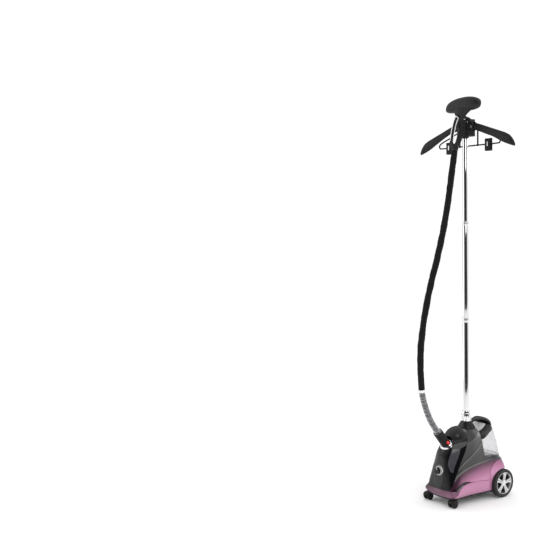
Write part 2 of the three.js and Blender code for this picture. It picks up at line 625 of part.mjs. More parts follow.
function addTankSeat() {
  const rings = planRings(PLANS, 0.8).filter((points) => points[0].z > 115 && points[0].z < 195);
  const slope = acrossX([[17.5, 156.1], [17.5, 161.7], [15 + 135, 142.7], [150, 137.3]], -100, 100);
  const valveWell = solid(placed(rod(9, 120, 175, 20), -30, 88, 0));
  const plate = solid(loft(rings)).intersect(solid(slope)).intersect(tankZone(-GAP));
  piece('tank_seat', cut(plate, valveWell), clearSmoke);
}

// ---------------------------------------------------------------- what the housing holds
function addInternals() {
  const boiler = joined(
    solid(placed(turned([
      [0, 46], [33, 46], [36, 49], [36, 92], [33, 96], [8, 98], [8, 104], [0, 104]], 20), 0, 58, 0)),
    solid(box(-6, 6, 20, 24.5, 52, 90)));
  piece('boiler', boiler, castMetal);
  const pump = joined(
    solid(box(-58, -26, -40, -2, 43, 76)),
    solid(placed(rod(14, 0, 16, 20), -42, -38, 60, Math.PI / 2)));
  piece('pump', pump, whitePlastic);
  piece('steam_pipe', solid(swept([
    [0, 58, 104.4], [0, 58, 112], [10, 50, 126], [24, 30, 140], [28, 0, 150], [20, -36, 160], [6, -62, 171],
    [0, -76, 180.5]], 5.5, 8, 16)), softBlack);
  piece('water_pipe', solid(swept([
    [-30, 88, 132.5], [-30, 88, 125], [-34, 80, 114], [-44, 56, 104], [-46, 20, 96], [-44, -8, 94],
    [-42, -18, 84], [-42, -18, 76.4]], 4, 8, 12)), whitePlastic);
  const gland = solid(turned([
    [3.6, -8], [7.5, -8], [7.5, 3.2], [11, 3.2], [11, 5.6], [7, 7.6], [5.6, 13], [3.6, 13], [3.6, -8]], 16));
  piece('cord_inlet', placedSolid(gland, 0, 147.2, 62, -Math.PI / 2), softBlack);
}

// Turns a finished solid into its place.
function placedSolid(body, ...where) {
  return solid(placed(geometryOf(body), ...where));
}

// ---------------------------------------------------------------- hanger, trouser bar and clips
function addHub() {
  const block = solid(roundedBox(-HUB.halfWidth, HUB.halfWidth, HUB.front, HUB.back, HUB.bottom, HUB.top, 7));
  const earShape = (s) => outline([
    [s * 26, 1388], [s * 44, 1388], [s * 49, 1394], [s * 49, 1412], [s * 44, 1418], [s * 26, 1424]]);
  const ears = SIDES.flatMap(([, s]) => [[-12, -8.3], [8.3, 12]].map(
    ([y0, y1]) => solid(acrossY(earShape(s), y0, y1))));
  const pins = SIDES.map(([, s]) => solid(
    placed(rod(3, -9, 9, 16), s * ARM.pivotX, 0, ARM.pivotZ, Math.PI / 2)));
  const poleBore = solid(rod(POLE.topR + GAP, 1300, POLE.topTop + GAP, 20));
  const hookSlot = solid(box(3, 25, 3, 15, 1420, 1440));
  const wireSlots = SIDES.map(([, s]) => solid(
    placed(rod(2.8, 0, 12, 12), s * 24, BAR.y, 1398, 0, s * 1.95)));
  piece('hanger_hub', cut(joined(block, ...ears, ...pins), poleBore, hookSlot, ...wireSlots), softBlack);
}

function addArm(side, s) {
  const alongArm = (t) => [
    ARM.pivotX + (ARM.tipX - 12 - ARM.pivotX) * t,
    ARM.pivotZ + 6 + (1336 - ARM.pivotZ - 6) * Math.pow(t, 1.12),
  ];
  const section = (t, halfDepth, halfHeight) => {
    const [x, z] = alongArm(t);
    const POINTS = 12;
    return Array.from({ length: POINTS }, (_, i) => {
      const angle = (i / POINTS) * Math.PI * 2;
      const rise = Math.sin(angle) * halfHeight;
      return new THREE.Vector3(s * (x + rise * 0.42), Math.cos(angle) * halfDepth, z + rise);
    });
  };
  const limb = loft([
    section(0.06, 7, 10.5), section(0.25, 7.6, 11), section(0.45, 8.6, 11.5), section(0.65, 9.6, 13),
    section(0.82, 10.4, 15), section(0.94, 10, 14.5), section(1.02, 8.4, 11), section(1.07, 5.5, 6)]);
  const knuckle = Array.from({ length: 9 }, (_, i) => {
    const angle = (100 + i * 20) * (Math.PI / 180);
    return [s * (ARM.pivotX + 7.6 * Math.cos(angle)), ARM.pivotZ + 7.6 * Math.sin(angle)];
  });
  const tongue = solid(acrossY(outline([...knuckle, [s * 58, 1390], [s * 58, 1406]]), -7.6, 7.6));
  const hole = solid(placed(rod(3.4, -20, 20, 16), s * ARM.pivotX, 0, ARM.pivotZ, Math.PI / 2));
  const keepClear = solid(box(-31, 31, -30, 30, 1300, 1500));
  const earSpace = joined(...[[-20, -8], [8, 20]].map(([y0, y1]) => (
    solid(box(s > 0 ? 20 : -52, s > 0 ? 52 : -20, y0, y1, 1370, 1440)))));
  const limbRoot = solid(placed(rod(17.6, -30, 30, 28), s * ARM.pivotX, 0, ARM.pivotZ, Math.PI / 2));
  const body = joined(cut(solid(limb), cut(limbRoot, solid(box(-70, 70, -7.7, 7.7, 1300, 1500)))), tongue);
  piece(`hanger_arm_${side}`, cut(body, hole, keepClear, earSpace), softBlack);
}

function addTrouserBar() {
  const half = BAR.halfSpan;
  const rightHalf = [
    [33.5, 1394.5], [50, 1388], [90, 1372], [134, 1356], [148, 1346], [146, 1336.5], [134, BAR.z]];
  const path = [
    ...rightHalf.map(([x, z]) => [x, BAR.y, z]), [half * 0.4, BAR.y, BAR.z], [-half * 0.4, BAR.y, BAR.z],
    ...rightHalf.map(([x, z]) => [-x, BAR.y, z]).reverse()];
  const strut = (s) => solid(placed(rod(BAR.wireR, BAR.z, 1389, 8), s * 44, BAR.y, 0));
  piece('trouser_bar', joined(solid(swept(path, BAR.wireR, 6, 30)), strut(1), strut(-1)), softBlack);
}

function addClip(side, s) {
  const clip = new THREE.Group();
  clip.position.set(s * CLIP_X, BAR.y, BAR.z);
  steamer.add(clip);
  const bore = solid(placed(rod(2.9, -20, 20, 16), 0, 0, 0, 0, Math.PI / 2));
  const barrel = (x0, x1) => solid(placed(rod(5, x0, x1, 20), 0, 0, 0, 0, Math.PI / 2));
  const back = joined(
    solid(acrossX([[3, -25], [7, -25], [7, 21], [3, 21]], -11, 11, 0.6)),
    solid(acrossX([[-0.9, -24.6], [4, -24.6], [4, -18], [-0.9, -20]], -10, 10)), barrel(-4.6, 4.6));
  const knuckles = joined(barrel(-10, -5), barrel(5, 10));
  const jaw = joined(
    solid(acrossX([[-8, -24.6], [-4.4, -24.6], [-4.4, 20], [-8, 20]], -10, 10, 0.6)),
    solid(acrossX([[-5, -24.4], [-1.3, -24.4], [-1.3, -20], [-5, -18]], -10, 10)), knuckles);
  const knuckleSpace = joined(...[[-12, -4.8], [4.8, 12]].map(([x0, x1]) => (
    solid(placed(rod(5.4, x0, x1, 20), 0, 0, 0, 0, Math.PI / 2)))));
  const barrelSpace = solid(placed(rod(5.4, -4.8, 4.8, 20), 0, 0, 0, 0, Math.PI / 2));
  piece(`clip_${side}`, cut(back, knuckleSpace, bore), softBlack, clip);
  piece(`clip_jaw_${side}`, cut(jaw, barrelSpace, bore), softBlack, clip);
}

// ---------------------------------------------------------------- handset
function addHandset() {
  const handset = new THREE.Group();
  handset.position.set(HANDSET.x, HANDSET.y, HANDSET.z);
  handset.rotation.set(HANDSET.leanBack, HANDSET.leanSide, 0);
  steamer.add(handset);
  const stem = solid(turned([[0, 0], [12, 0], [12.5, 3], [12, 14], [9, 22], [0, 22]], 16));
  const grip = solid(swept([
    [0, 0, 10], [0, 8, 26], [0, 12, 48], [0, 12, 76], [0, 9, 100], [0, 2, 128], [0, 0, 150]], 10, 8, 9));
  const guard = solid(swept([[0, -2, 10], [0, -13, 26], [0, -18, 46], [0, -19, 70], [0, -16, 96], [0, -8, 118],
    [0, -2, 132]], 5, 6, 9));
  const throat = solid(turned([[0, 118], [12, 118], [15, 132], [24, 146], [30, 156], [0, 156]], 16));
  const head = new THREE.SphereGeometry(1, 20, 10);
  const spot = head.attributes.position;
  for (let i = 0; i < spot.count; i += 1) {
    const [x, y, z] = [spot.getX(i), spot.getY(i), spot.getZ(i)];
    const squareness = 0.72;
    const round = (v) => Math.sign(v) * Math.pow(Math.abs(v), squareness);
    spot.setXYZ(i, round(x) * HEAD.halfLength, round(y) * HEAD.halfDepth, round(z) * HEAD.halfHeight + HEAD.z);
  }
  const faceCut = solid(box(-100, 100, 17, 60, 130, 210));
  const hookArm = solid(acrossX([
    [8, 119], [26, 121], [47.6, 124], [47.6, 115.6], [52.6, 115.6], [54, 125], [48, 130], [28, 131],
    [8, 138]], -5, 5));
  const shellBody = cut(joined(stem, grip, guard, throat, solid(head)), faceCut);
  const triggerSlot = solid(box(-4.3, 4.3, -6, 6, 84, 104));
  const steamWay = solid(rod(3, -2, 12, 12));
  piece('handset_shell', cut(joined(shellBody, hookArm), triggerSlot, steamWay), softBlack, handset);

  const plateShape = new THREE.Shape();
  plateShape.absellipse(0, 0, 66, 17, 0, Math.PI * 2);
  const holes = solid(plateRow());
  const plate = solid(extruded(plateShape, 4, 0, 14).rotateX(-Math.PI / 2).translate(0, 17 + GAP, HEAD.z));
  piece('steam_plate', cut(plate, holes), silver, handset);
  piece('steam_trigger', solid(box(-4, 4, -7.5, 3, 84.4, 103.6)), softBlack, handset);
}

// One slot across the steam plate, for the steam to leave.
function plateRow() {
  return box(-46, 46, 10, 30, HEAD.z - 1.5, HEAD.z + 1.5);
}

// ---------------------------------------------------------------- steam hose
const HOSE_PATH = [
  [0, -148.3, 264.8], [0, -161.9, 280.8], [0, -177, 300], [0, -195, 327], [0, -211, 360], [0, -226, 400],
  [0, -234.5, 436], [0, -239, 490], [0, -240, 550], [0, -236, 615], [0, -222, 690], [0, -205, 756],
  [0, -186, 820], [0, -158, 897], [0, -132, 975], [0, -112, 1046], [0, -95, 1115], [0, -82, 1180],
  [0, -70, 1245], [0, -60.6, 1290], [0.4, -57.5, 1314],
];
const SLEEVE_START = 6; // the point where the ribbed hose goes into its fabric sleeve

function addHose() {
  const ribbed = HOSE_PATH.slice(0, SLEEVE_START + 1);
  const sleeved = HOSE_PATH.slice(SLEEVE_START);
  const cuffHalf = 5;
  const direction = new THREE.Vector3(0, -4, 27).normalize();
  const middle = new THREE.Vector3(...HOSE_PATH[SLEEVE_START]);
  const shifted = (amount) => middle.clone().addScaledVector(direction, amount).toArray();
  const lower = [...ribbed.slice(0, -1), shifted(-16), shifted(-cuffHalf - GAP)];
  const upper = [shifted(cuffHalf + GAP), shifted(16), ...sleeved.slice(1)];
  piece('hose_ribbed', solid(swept(lower, HOSE_R, 10, 9)), silver);
  piece('hose_sleeve', solid(swept(upper, HOSE_R, 10, 26)), fabric);
  const cuff = placed(rod(HOSE_R + 1, -cuffHalf, cuffHalf, 16), ...middle.toArray(), Math.atan2(4, 27));
  piece('sleeve_cuff', solid(cuff), whitePlastic);
}

// ---------------------------------------------------------------- assembly
addHousing();
addTray();
SIDES.forEach(([side, s]) => {
  addRearWheel(side, s);
  addCaster(side, s);
  addArm(side, s);
  addClip(side, s);
});
addDial();
addConnector();
addHood();
addNeckAndPole();
addTankSeat();
addTank();
addInternals();
addHub();
addTrouserBar();
addHandset();
addHose();

export default steamer;
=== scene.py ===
import math

import bmesh
import bpy
import numpy as np
from mathutils import Matrix, Vector, noise


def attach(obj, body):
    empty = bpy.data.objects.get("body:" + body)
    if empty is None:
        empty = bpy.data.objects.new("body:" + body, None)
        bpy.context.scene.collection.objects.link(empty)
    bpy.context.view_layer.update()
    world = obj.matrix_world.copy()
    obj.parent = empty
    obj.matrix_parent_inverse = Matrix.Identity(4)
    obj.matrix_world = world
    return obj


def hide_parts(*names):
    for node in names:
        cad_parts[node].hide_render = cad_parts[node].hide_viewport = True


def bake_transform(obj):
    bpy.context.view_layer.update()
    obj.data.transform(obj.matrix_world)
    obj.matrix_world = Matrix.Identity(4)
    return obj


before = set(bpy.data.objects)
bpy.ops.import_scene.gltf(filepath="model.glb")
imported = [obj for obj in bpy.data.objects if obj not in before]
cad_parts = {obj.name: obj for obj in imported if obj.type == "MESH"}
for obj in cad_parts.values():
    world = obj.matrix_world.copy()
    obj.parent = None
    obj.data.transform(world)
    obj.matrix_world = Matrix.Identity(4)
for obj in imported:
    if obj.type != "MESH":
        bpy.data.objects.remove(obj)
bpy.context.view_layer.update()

# Lengths in the builders below are in millimetres and become metres when a mesh is made.
MM = 0.001
SIDES = (("right", 1), ("left", -1))

# Places that several pieces share.
WHEEL_YZ = (103, 53.5)
HOOD_CENTRE, HOOD_LEAN = (0, -52, 234), 0.25
HOOD_OUTER, HOOD_INNER, HOOD_COVERS = (45.2, 53.6, 43.6), (42.6, 51, 41), (44, 52.4, 42.4)
ARM_X, ARM_Z, ARM_TIP_X = 38, 1402, 228
BAR_Y, BAR_Z, STRUT_X, CLIP_X = 20, 1334, 44, 95
CASTER_X, CASTER_Y, CASTER_WHEEL_Y, CASTER_R = 62, -128, -141, 14


def vec(*xyz):
    return np.array(xyz, float)


# ---------------------------------------------------------------- camera and light
def make_camera():
    yaw, pitch, roll = math.radians(55.29), math.radians(3.02), math.radians(-0.93)
    back = Vector((math.sin(yaw) * math.cos(pitch), -math.cos(yaw) * math.cos(pitch), math.sin(pitch)))
    right = Vector((math.cos(yaw), math.sin(yaw), 0))
    up = back.cross(right)
    c, s = math.cos(roll), math.sin(roll)
    right, up = right * c + up * s, up * c - right * s
    data = bpy.data.cameras.new("camera")
    data.sensor_width = 36
    data.lens = 57.26
    camera = bpy.data.objects.new("camera", data)
    bpy.context.collection.objects.link(camera)
    turned = Matrix((right, up, back)).transposed().to_4x4()
    camera.matrix_world = Matrix.Translation((2.2015, -2.4400, 1.0618)) @ turned
    bpy.context.scene.camera = camera


def area_light(name, place, target, size, power, tall=None):
    data = bpy.data.lights.new(name, "AREA")
    data.shape = "RECTANGLE"
    data.size, data.size_y = size, tall or size
    data.energy = power
    lamp = bpy.data.objects.new(name, data)
    bpy.context.collection.objects.link(lamp)
    lamp.location = place
    lamp.rotation_euler = (Vector(target) - Vector(place)).to_track_quat("-Z", "Y").to_euler()


def make_sky():
    """A white room that shiny things mirror, dark beside the photograph's viewpoint and opposite it."""
    world = bpy.data.worlds.new("studio")
    bpy.context.scene.world = world
    world.use_nodes = True
    tree = world.node_tree
    backing = tree.nodes["Background"]
    ray = node(tree, "ShaderNodeLightPath")
    place = node(tree, "ShaderNodeTexCoord")
    dot = node(tree, "ShaderNodeVectorMath", operation="DOT_PRODUCT")
    dot.inputs[1].default_value = (0.80, -0.60, 0.0)
    link(tree, place.outputs["Generated"], dot.inputs[0])
    half = node(tree, "ShaderNodeMapRange")
    half.inputs["From Min"].default_value = -1
    link(tree, dot.outputs["Value"], half.inputs["Value"])
    room = ramp(tree, half.outputs["Result"], [(0.0, (0.10, 0.10, 0.105)), (0.06, (0.30, 0.30, 0.31)),
                                               (0.15, (0.95, 0.95, 0.95)), (0.55, (1.0, 1.0, 1.0)),
                                               (0.72, (0.62, 0.62, 0.63)), (0.86, (0.12, 0.12, 0.125)),
                                               (0.93, (0.03, 0.03, 0.03)), (1.0, (0.02, 0.02, 0.02))])
    mixed = node(tree, "ShaderNodeMix", data_type="RGBA")
    mixed.inputs[6].default_value = (1, 1, 1, 1)
    link(tree, ray.outputs["Is Glossy Ray"], mixed.inputs[0])
    link(tree, room.outputs["Color"], mixed.inputs[7])
    link(tree, mixed.outputs[2], backing.inputs["Color"])
    backing.inputs["Strength"].default_value = 1.06


def make_studio():
    make_sky()
    bpy.context.scene.view_settings.view_transform = "Standard"
    area_light("key", (2.6, -1.2, 3.0), (0, 0, 0.6), 1.6, 22)
    area_light("fill", (-2.4, -2.6, 1.6), (0, 0, 0.7), 1.2, 8, 2.4)
    area_light("rim", (0.4, 3.0, 2.4), (0, 0, 0.7), 1.4, 14)
    bpy.ops.mesh.primitive_plane_add(size=60, location=(0, 0, -0.0005))
    floor = bpy.context.active_object
    floor.name = "floor"
    plain_floor()
    floor.data.materials.append(MATERIALS["floor_paper"])


# ---------------------------------------------------------------- materials
MATERIALS = {}


def new_material(name):
    """Starts a material and keeps it under its name; the builders below fill in its nodes."""
    material = bpy.data.materials.new(name)
    material.use_nodes = True
    MATERIALS[name] = material
    tree = material.node_tree
    return tree, tree.nodes["Principled BSDF"]


def link(tree, a, b):
    tree.links.new(a, b)


def node(tree, kind, **values):
    made = tree.nodes.new(kind)
    for key, value in values.items():
        if key in made.inputs.keys():
            made.inputs[key].default_value = value
        else:
            setattr(made, key, value)
    return made


def grain(tree, scale, detail=4.0, stretch=(1, 1, 1)):
    place = node(tree, "ShaderNodeTexCoord")
    spread = node(tree, "ShaderNodeMapping")
    spread.inputs["Scale"].default_value = stretch
    link(tree, place.outputs["Object"], spread.inputs["Vector"])
    made = node(tree, "ShaderNodeTexNoise", Scale=scale, Detail=detail)
    link(tree, spread.outputs["Vector"], made.inputs["Vector"])
    return made


def ramp(tree, source, stops):
    made = node(tree, "ShaderNodeValToRGB")
    elements = made.color_ramp.elements
    elements[0].position, elements[0].color = stops[0][0], (*stops[0][1], 1)
    elements[1].position, elements[1].color = stops[-1][0], (*stops[-1][1], 1)
    for position, color in stops[1:-1]:
        elements.new(position).color = (*color, 1)
    link(tree, source, made.inputs["Fac"])
    return made


def span(tree, source, low, high):
    made = node(tree, "ShaderNodeMapRange")
    made.inputs["To Min"].default_value, made.inputs["To Max"].default_value = low, high
    link(tree, source, made.inputs["Value"])
    return made


def bumped(tree, shader, source, distance, strength=0.5, before=None):
    made = node(tree, "ShaderNodeBump", Strength=strength, Distance=distance)
    link(tree, source, made.inputs["Height"])
    if before is not None:
        link(tree, before.outputs["Normal"], made.inputs["Normal"])
    link(tree, made.outputs["Normal"], shader.inputs["Normal"])
    return made


def tinted(tree, shader, source, stops):
    tone = ramp(tree, source, stops)
    link(tree, tone.outputs["Color"], shader.inputs["Base Color"])


def roughened(tree, shader, source, low, high):
    rough = span(tree, source, low, high)
    link(tree, rough.outputs["Result"], shader.inputs["Roughness"])


def plain_floor():
    tree, shader = new_material("floor_paper")
    fleck = grain(tree, 8)
    tinted(tree, shader, fleck.outputs["Fac"], [(0.3, (0.955, 0.955, 0.955)), (0.7, (0.97, 0.97, 0.97))])
    shader.inputs["Roughness"].default_value = 0.9
    shader.inputs["Specular IOR Level"].default_value = 0.1


def moulded(name, color, roughness, spread=0.25, texture=900, depth=0.00006, coat=0.0, shine=0.3):
    """Moulded plastic: a slight mottle in its colour and gloss, and a fine spark-eroded texture."""
    tree, shader = new_material(name)
    mottle = grain(tree, 14, 6)
    tinted(tree, shader, mottle.outputs["Fac"], [
        (0.3, tuple(c * (1 - spread) for c in color)), (0.7, tuple(min(1, c * (1 + spread)) for c in color))])
    smear = grain(tree, 40, 5)
    roughened(tree, shader, smear.outputs["Fac"], roughness * 0.8, roughness * 1.2)
    fine = grain(tree, texture, 2)
    bumped(tree, shader, fine.outputs["Fac"], depth)
    shader.inputs["Specular IOR Level"].default_value = shine
    shader.inputs["Coat Weight"].default_value = coat
    shader.inputs["Coat Roughness"].default_value = 0.04


def lacquer(name, stops, axis, low, high, roughness=0.24, metallic=0.3, coordinate="Object"):
    """Metallic lacquer over plastic whose colour fades along a direction, with fine metal flakes. On some
    looks below, the fade also holds painted light and shade.
    """
    tree, shader = new_material(name)
    place = node(tree, "ShaderNodeTexCoord")
    dot = node(tree, "ShaderNodeVectorMath", operation="DOT_PRODUCT")
    dot.inputs[1].default_value = axis
    link(tree, place.outputs[coordinate], dot.inputs[0])
    along = node(tree, "ShaderNodeMapRange")
    along.inputs["From Min"].default_value, along.inputs["From Max"].default_value = low, high
    link(tree, dot.outputs["Value"], along.inputs["Value"])
    cloud = grain(tree, 9, 3)
    drift = span(tree, cloud.outputs["Fac"], -0.07, 0.07)
    mixed = node(tree, "ShaderNodeMath", operation="ADD", use_clamp=True)
    link(tree, along.outputs["Result"], mixed.inputs[0])
    link(tree, drift.outputs["Result"], mixed.inputs[1])
    tinted(tree, shader, mixed.outputs["Value"], stops)
    flake = node(tree, "ShaderNodeTexVoronoi", Scale=1400.0)
    link(tree, place.outputs["Object"], flake.inputs["Vector"])
    bumped(tree, shader, flake.outputs["Distance"], 0.00002, 0.1)
    roughened(tree, shader, flake.outputs["Color"], roughness * 0.8, roughness * 1.3)
    shader.inputs["Metallic"].default_value = metallic
    shader.inputs["Specular IOR Level"].default_value = 0.35
    shader.inputs["Coat Weight"].default_value = 0.5
    shader.inputs["Coat Roughness"].default_value = 0.06


def bright_metal(name, color, roughness, stretch=(1, 1, 1), scale=300, depth=0.00002):
    """Plated or drawn metal with faint lines that follow how it was polished."""
    tree, shader = new_material(name)
    lines = grain(tree, scale, 5, stretch=stretch)
    tinted(tree, shader, lines.outputs["Fac"], [(0.25, tuple(c * 0.92 for c in color)), (0.75, color)])
    roughened(tree, shader, lines.outputs["Fac"], roughness * 0.6, roughness * 1.5)
    bumped(tree, shader, lines.outputs["Fac"], depth, 0.3)
    shader.inputs["Metallic"].default_value = 1.0


def clear_plastic(name, color, roughness, transmission):
    tree, shader = new_material(name)
    haze = grain(tree, 22, 5)
    tinted(tree, shader, haze.outputs["Fac"], [(0.3, tuple(c * 0.94 for c in color)), (0.75, color)])
    roughened(tree, shader, haze.outputs["Fac"], roughness * 0.7, roughness * 1.3)
    shader.inputs["Transmission Weight"].default_value = transmission
    shader.inputs["IOR"].default_value = 1.35


def woven(name):
    """Braided black sleeve: two families of threads that wind round the hose, with a soft nap."""
    tree, shader = new_material(name)
    place = node(tree, "ShaderNodeTexCoord")
    threads = []
    for lean in (1, -1):
        turn = node(tree, "ShaderNodeMapping")
        turn.inputs["Rotation"].default_value = (0, 0, lean * math.radians(38))
        link(tree, place.outputs["UV"], turn.inputs["Vector"])
        wave = node(tree, "ShaderNodeTexWave", Scale=210.0, Distortion=0.6)
        link(tree, turn.outputs["Vector"], wave.inputs["Vector"])
        threads.append(wave)
    weave = node(tree, "ShaderNodeMath", operation="MAXIMUM")
    link(tree, threads[0].outputs["Fac"], weave.inputs[0])
    link(tree, threads[1].outputs["Fac"], weave.inputs[1])
    tinted(tree, shader, weave.outputs["Value"], [(0.1, (0.002, 0.002, 0.0025)),
                                                  (0.9, (0.009, 0.009, 0.010))])
    first = bumped(tree, shader, weave.outputs["Value"], 0.0005, 0.6)
    fuzz = grain(tree, 160, 4)
    bumped(tree, shader, fuzz.outputs["Fac"], 0.0006, 0.4, before=first)
    roughened(tree, shader, fuzz.outputs["Fac"], 0.62, 0.9)
    shader.inputs["Specular IOR Level"].default_value = 0.12
    shader.inputs["Sheen Weight"].default_value = 0.03


def rubber(name):
    tree, shader = new_material(name)
    dust = grain(tree, 60, 6)
    tinted(tree, shader, dust.outputs["Fac"], [(0.35, (0.010, 0.010, 0.010)), (0.75, (0.028, 0.027, 0.026))])
    roughened(tree, shader, dust.outputs["Fac"], 0.55, 0.85)
    bumped(tree, shader, grain(tree, 700, 3).outputs["Fac"], 0.00012)


PLUM, PINK, PALE = (0.045, 0.014, 0.030), (0.40, 0.150, 0.275), (0.50, 0.215, 0.36)
moulded("satin_black", (0.034, 0.034, 0.035), 0.36)
# The side shell's fade from dark low down to lighter at the top and front is painted shading, as if lit from
# above and in front.
lacquer("satin_side_shaded", [(0.0, (0.016, 0.016, 0.0155)), (0.5, (0.032, 0.032, 0.031)),
                       (1.0, (0.085, 0.085, 0.083))], (0, -0.55, 1), 0.115, 0.262, 0.34, 0.1)
moulded("gloss_black", (0.004, 0.004, 0.005), 0.08, texture=300, depth=0.00001, shine=0.34)
moulded("matte_black", (0.009, 0.009, 0.0095), 0.45, shine=0.2)
moulded("dome_black", (0.014, 0.014, 0.015), 0.2, shine=0.26)
moulded("neck_black", (0.012, 0.012, 0.013), 0.14, shine=0.3)
moulded("lid_black", (0.024, 0.024, 0.025), 0.34)
moulded("bar_black", (0.006, 0.006, 0.006), 0.3, texture=400)
moulded("handset_black", (0.011, 0.011, 0.012), 0.4, shine=0.24)
moulded("bib_black", (0.024, 0.024, 0.025), 0.36, shine=0.3)
# The lighter grey of the side band is a painted highlight along the rounded lower edge of the side shell; the
# recess strips share this grey.
moulded("band_grey", (0.12, 0.12, 0.118), 0.3)
lacquer("pink_side", [(0.0, PLUM), (0.2, (0.105, 0.036, 0.072)), (0.5, (0.28, 0.10, 0.19)), (0.78, PINK),
                      (1.0, PALE)], (0, 1, 0), 0.0, 0.058, coordinate="UV")
lacquer("pink_rocker", [(0.0, (0.47, 0.20, 0.34)), (0.55, PALE), (1.0, (0.46, 0.18, 0.32))], (0, 0, 1),
        0.03, 0.085)
# The lighter band near the wheel arch is a painted highlight; above it the colour darkens towards the top and
# the rear.
lacquer("pink_fender", [(0.0, (0.46, 0.19, 0.33)), (0.45, (0.54, 0.25, 0.41)), (0.75, PINK),
                        (1.0, (0.17, 0.05, 0.11))], (0, 0.25, 1), 0.07, 0.172)
# Paler pink low down and dark plum higher up is the two-tone paint; the fade also leans across x, so the left
# side is darker than the right, which is painted shade.
lacquer("pink_skirt", [(0.0, (0.26, 0.115, 0.19)), (0.5, (0.135, 0.053, 0.094)),
                       (1.0, (0.034, 0.013, 0.024))], (-0.25, 0, 1), 0.018, 0.072)
lacquer("plum_gloss", [(0.0, (0.04, 0.012, 0.026)), (1.0, (0.016, 0.006, 0.011))], (0, 0, 1), 0.04, 0.09)
# The light grey of the crease line is a painted highlight along the ridge of each side crease.
moulded("crease_highlight_grey", (0.20, 0.20, 0.195), 0.3)
# A lighter grey on the gloss black cheek facets: a painted reflection of light.
moulded("cheek_reflection_grey", (0.055, 0.055, 0.062), 0.16, shine=0.5)
moulded("pearl", (0.62, 0.62, 0.63), 0.2, 0.05)
bright_metal("chrome", (0.86, 0.86, 0.87), 0.07, (1, 1, 0.02))
bright_metal("silver", (0.88, 0.88, 0.89), 0.32, (1, 1, 1), 80)
bright_metal("cast", (0.42, 0.43, 0.44), 0.5, (1, 1, 1), 60, 0.0003)
bright_metal("steel", (0.5, 0.5, 0.52), 0.3, (0.02, 1, 1))
clear_plastic("clear", (0.93, 0.93, 0.94), 0.16, 0.92)
clear_plastic("smoke", (0.16, 0.16, 0.17), 0.2, 0.55)
rubber("rubber")
moulded("red", (0.72, 0.02, 0.015), 0.25, 0.1, 400, 0.00003, 0.4)
moulded("white", (0.78, 0.78, 0.76), 0.35, 0.05)
woven("fabric")
moulded("hose_black", (0.012, 0.012, 0.013), 0.4)
# The bright metal look on the rib crests of the black hose is a painted highlight.
bright_metal("hose_rib_highlight", (0.62, 0.62, 0.64), 0.32, (1, 1, 1), 200)

# The material slot of the part that each look stands for.
SLOT_LOOKS = {
    "satin_black": ["satin_black", "satin_side_shaded", "lid_black", "band_grey", "crease_highlight_grey"],
    "gloss_black": ["gloss_black", "dome_black", "neck_black", "cheek_reflection_grey"],
    "matte_black": ["matte_black", "handset_black", "bib_black"],
    "pink_metallic": ["pink_side", "pink_rocker", "pink_fender", "pink_skirt", "plum_gloss"],
    "clear_plastic": ["pearl", "clear"],
    "smoke_plastic": ["smoke"], "white_plastic": ["white"], "red_plastic": ["red"],
    "silver_plastic": ["silver"], "chrome": ["chrome"], "steel": ["steel"], "plate_metal": ["cast"],
    "trouser_wire": ["bar_black"], "tyre": ["rubber"]}
SLOT_OF = {look: slot for slot, looks in SLOT_LOOKS.items() for look in looks}


# ---------------------------------------------------------------- mesh helpers
def socketed(x, y, z, rx=0.0, ry=0.0, rz=0.0):
    """The place of a group of pieces, from its position in millimetres and its turns."""
    turn = Matrix.Rotation(rx, 4, "X") @ Matrix.Rotation(ry, 4, "Y") @ Matrix.Rotation(rz, 4, "Z")
    return Matrix.Translation((x * MM, y * MM, z * MM)) @ turn


HERE = Matrix.Identity(4)
# Turns that lay the Z axis along X or along Y.
TO_X, TO_Y = Matrix.Rotation(math.pi / 2, 4, "Y"), Matrix.Rotation(math.pi / 2, 4, "X")
SOCKET = socketed(0, -100, 208, 0.705)
DIAL_TURN = math.pi / 2 - 0.115
DIAL = socketed(0, -150.8, 126, DIAL_TURN)
HANDSET = socketed(1, -57, 1316, -0.13, 0.1)


def catmull(points, count, closed=False, power=0.0):
    """A smooth curve through points: power 0 is uniform, 0.5 is centripetal."""
    p = [np.array(q, float) for q in points]
    n = len(p)
    spans = n if closed else n - 1
    out = []
    total = count if closed else count + 1
    for k in range(total):
        t = k / count * spans
        i = min(int(t), spans - 1)
        w = t - i
        if closed:
            a, b, c, d = p[(i - 1) % n], p[i % n], p[(i + 1) % n], p[(i + 2) % n]
        else:
            b, c = p[i], p[i + 1]
            a = p[i - 1] if i else 2 * b - c
            d = p[i + 2] if i + 2 < n else 2 * c - b
        if power:
            gaps = [max(np.dot(v - u, v - u) ** (power / 2), 1e-6) for u, v in ((a, b), (b, c), (c, d))]
            m1 = (b - a) / gaps[0] - (c - a) / (gaps[0] + gaps[1]) + (c - b) / gaps[1]
            m2 = (c - b) / gaps[1] - (d - b) / (gaps[1] + gaps[2]) + (d - c) / gaps[2]
            m1, m2 = m1 * gaps[1], m2 * gaps[1]
        else:
            m1, m2 = (c - a) / 2, (d - b) / 2
        out.append(b + m1 * w + (3 * (c - b) - 2 * m1 - m2) * w ** 2 + (2 * (b - c) + m1 + m2) * w ** 3)
    return out


def turns(count):
    """Evenly spaced angles that make up one turn."""
    return [2 * math.pi * k / count for k in range(count)]


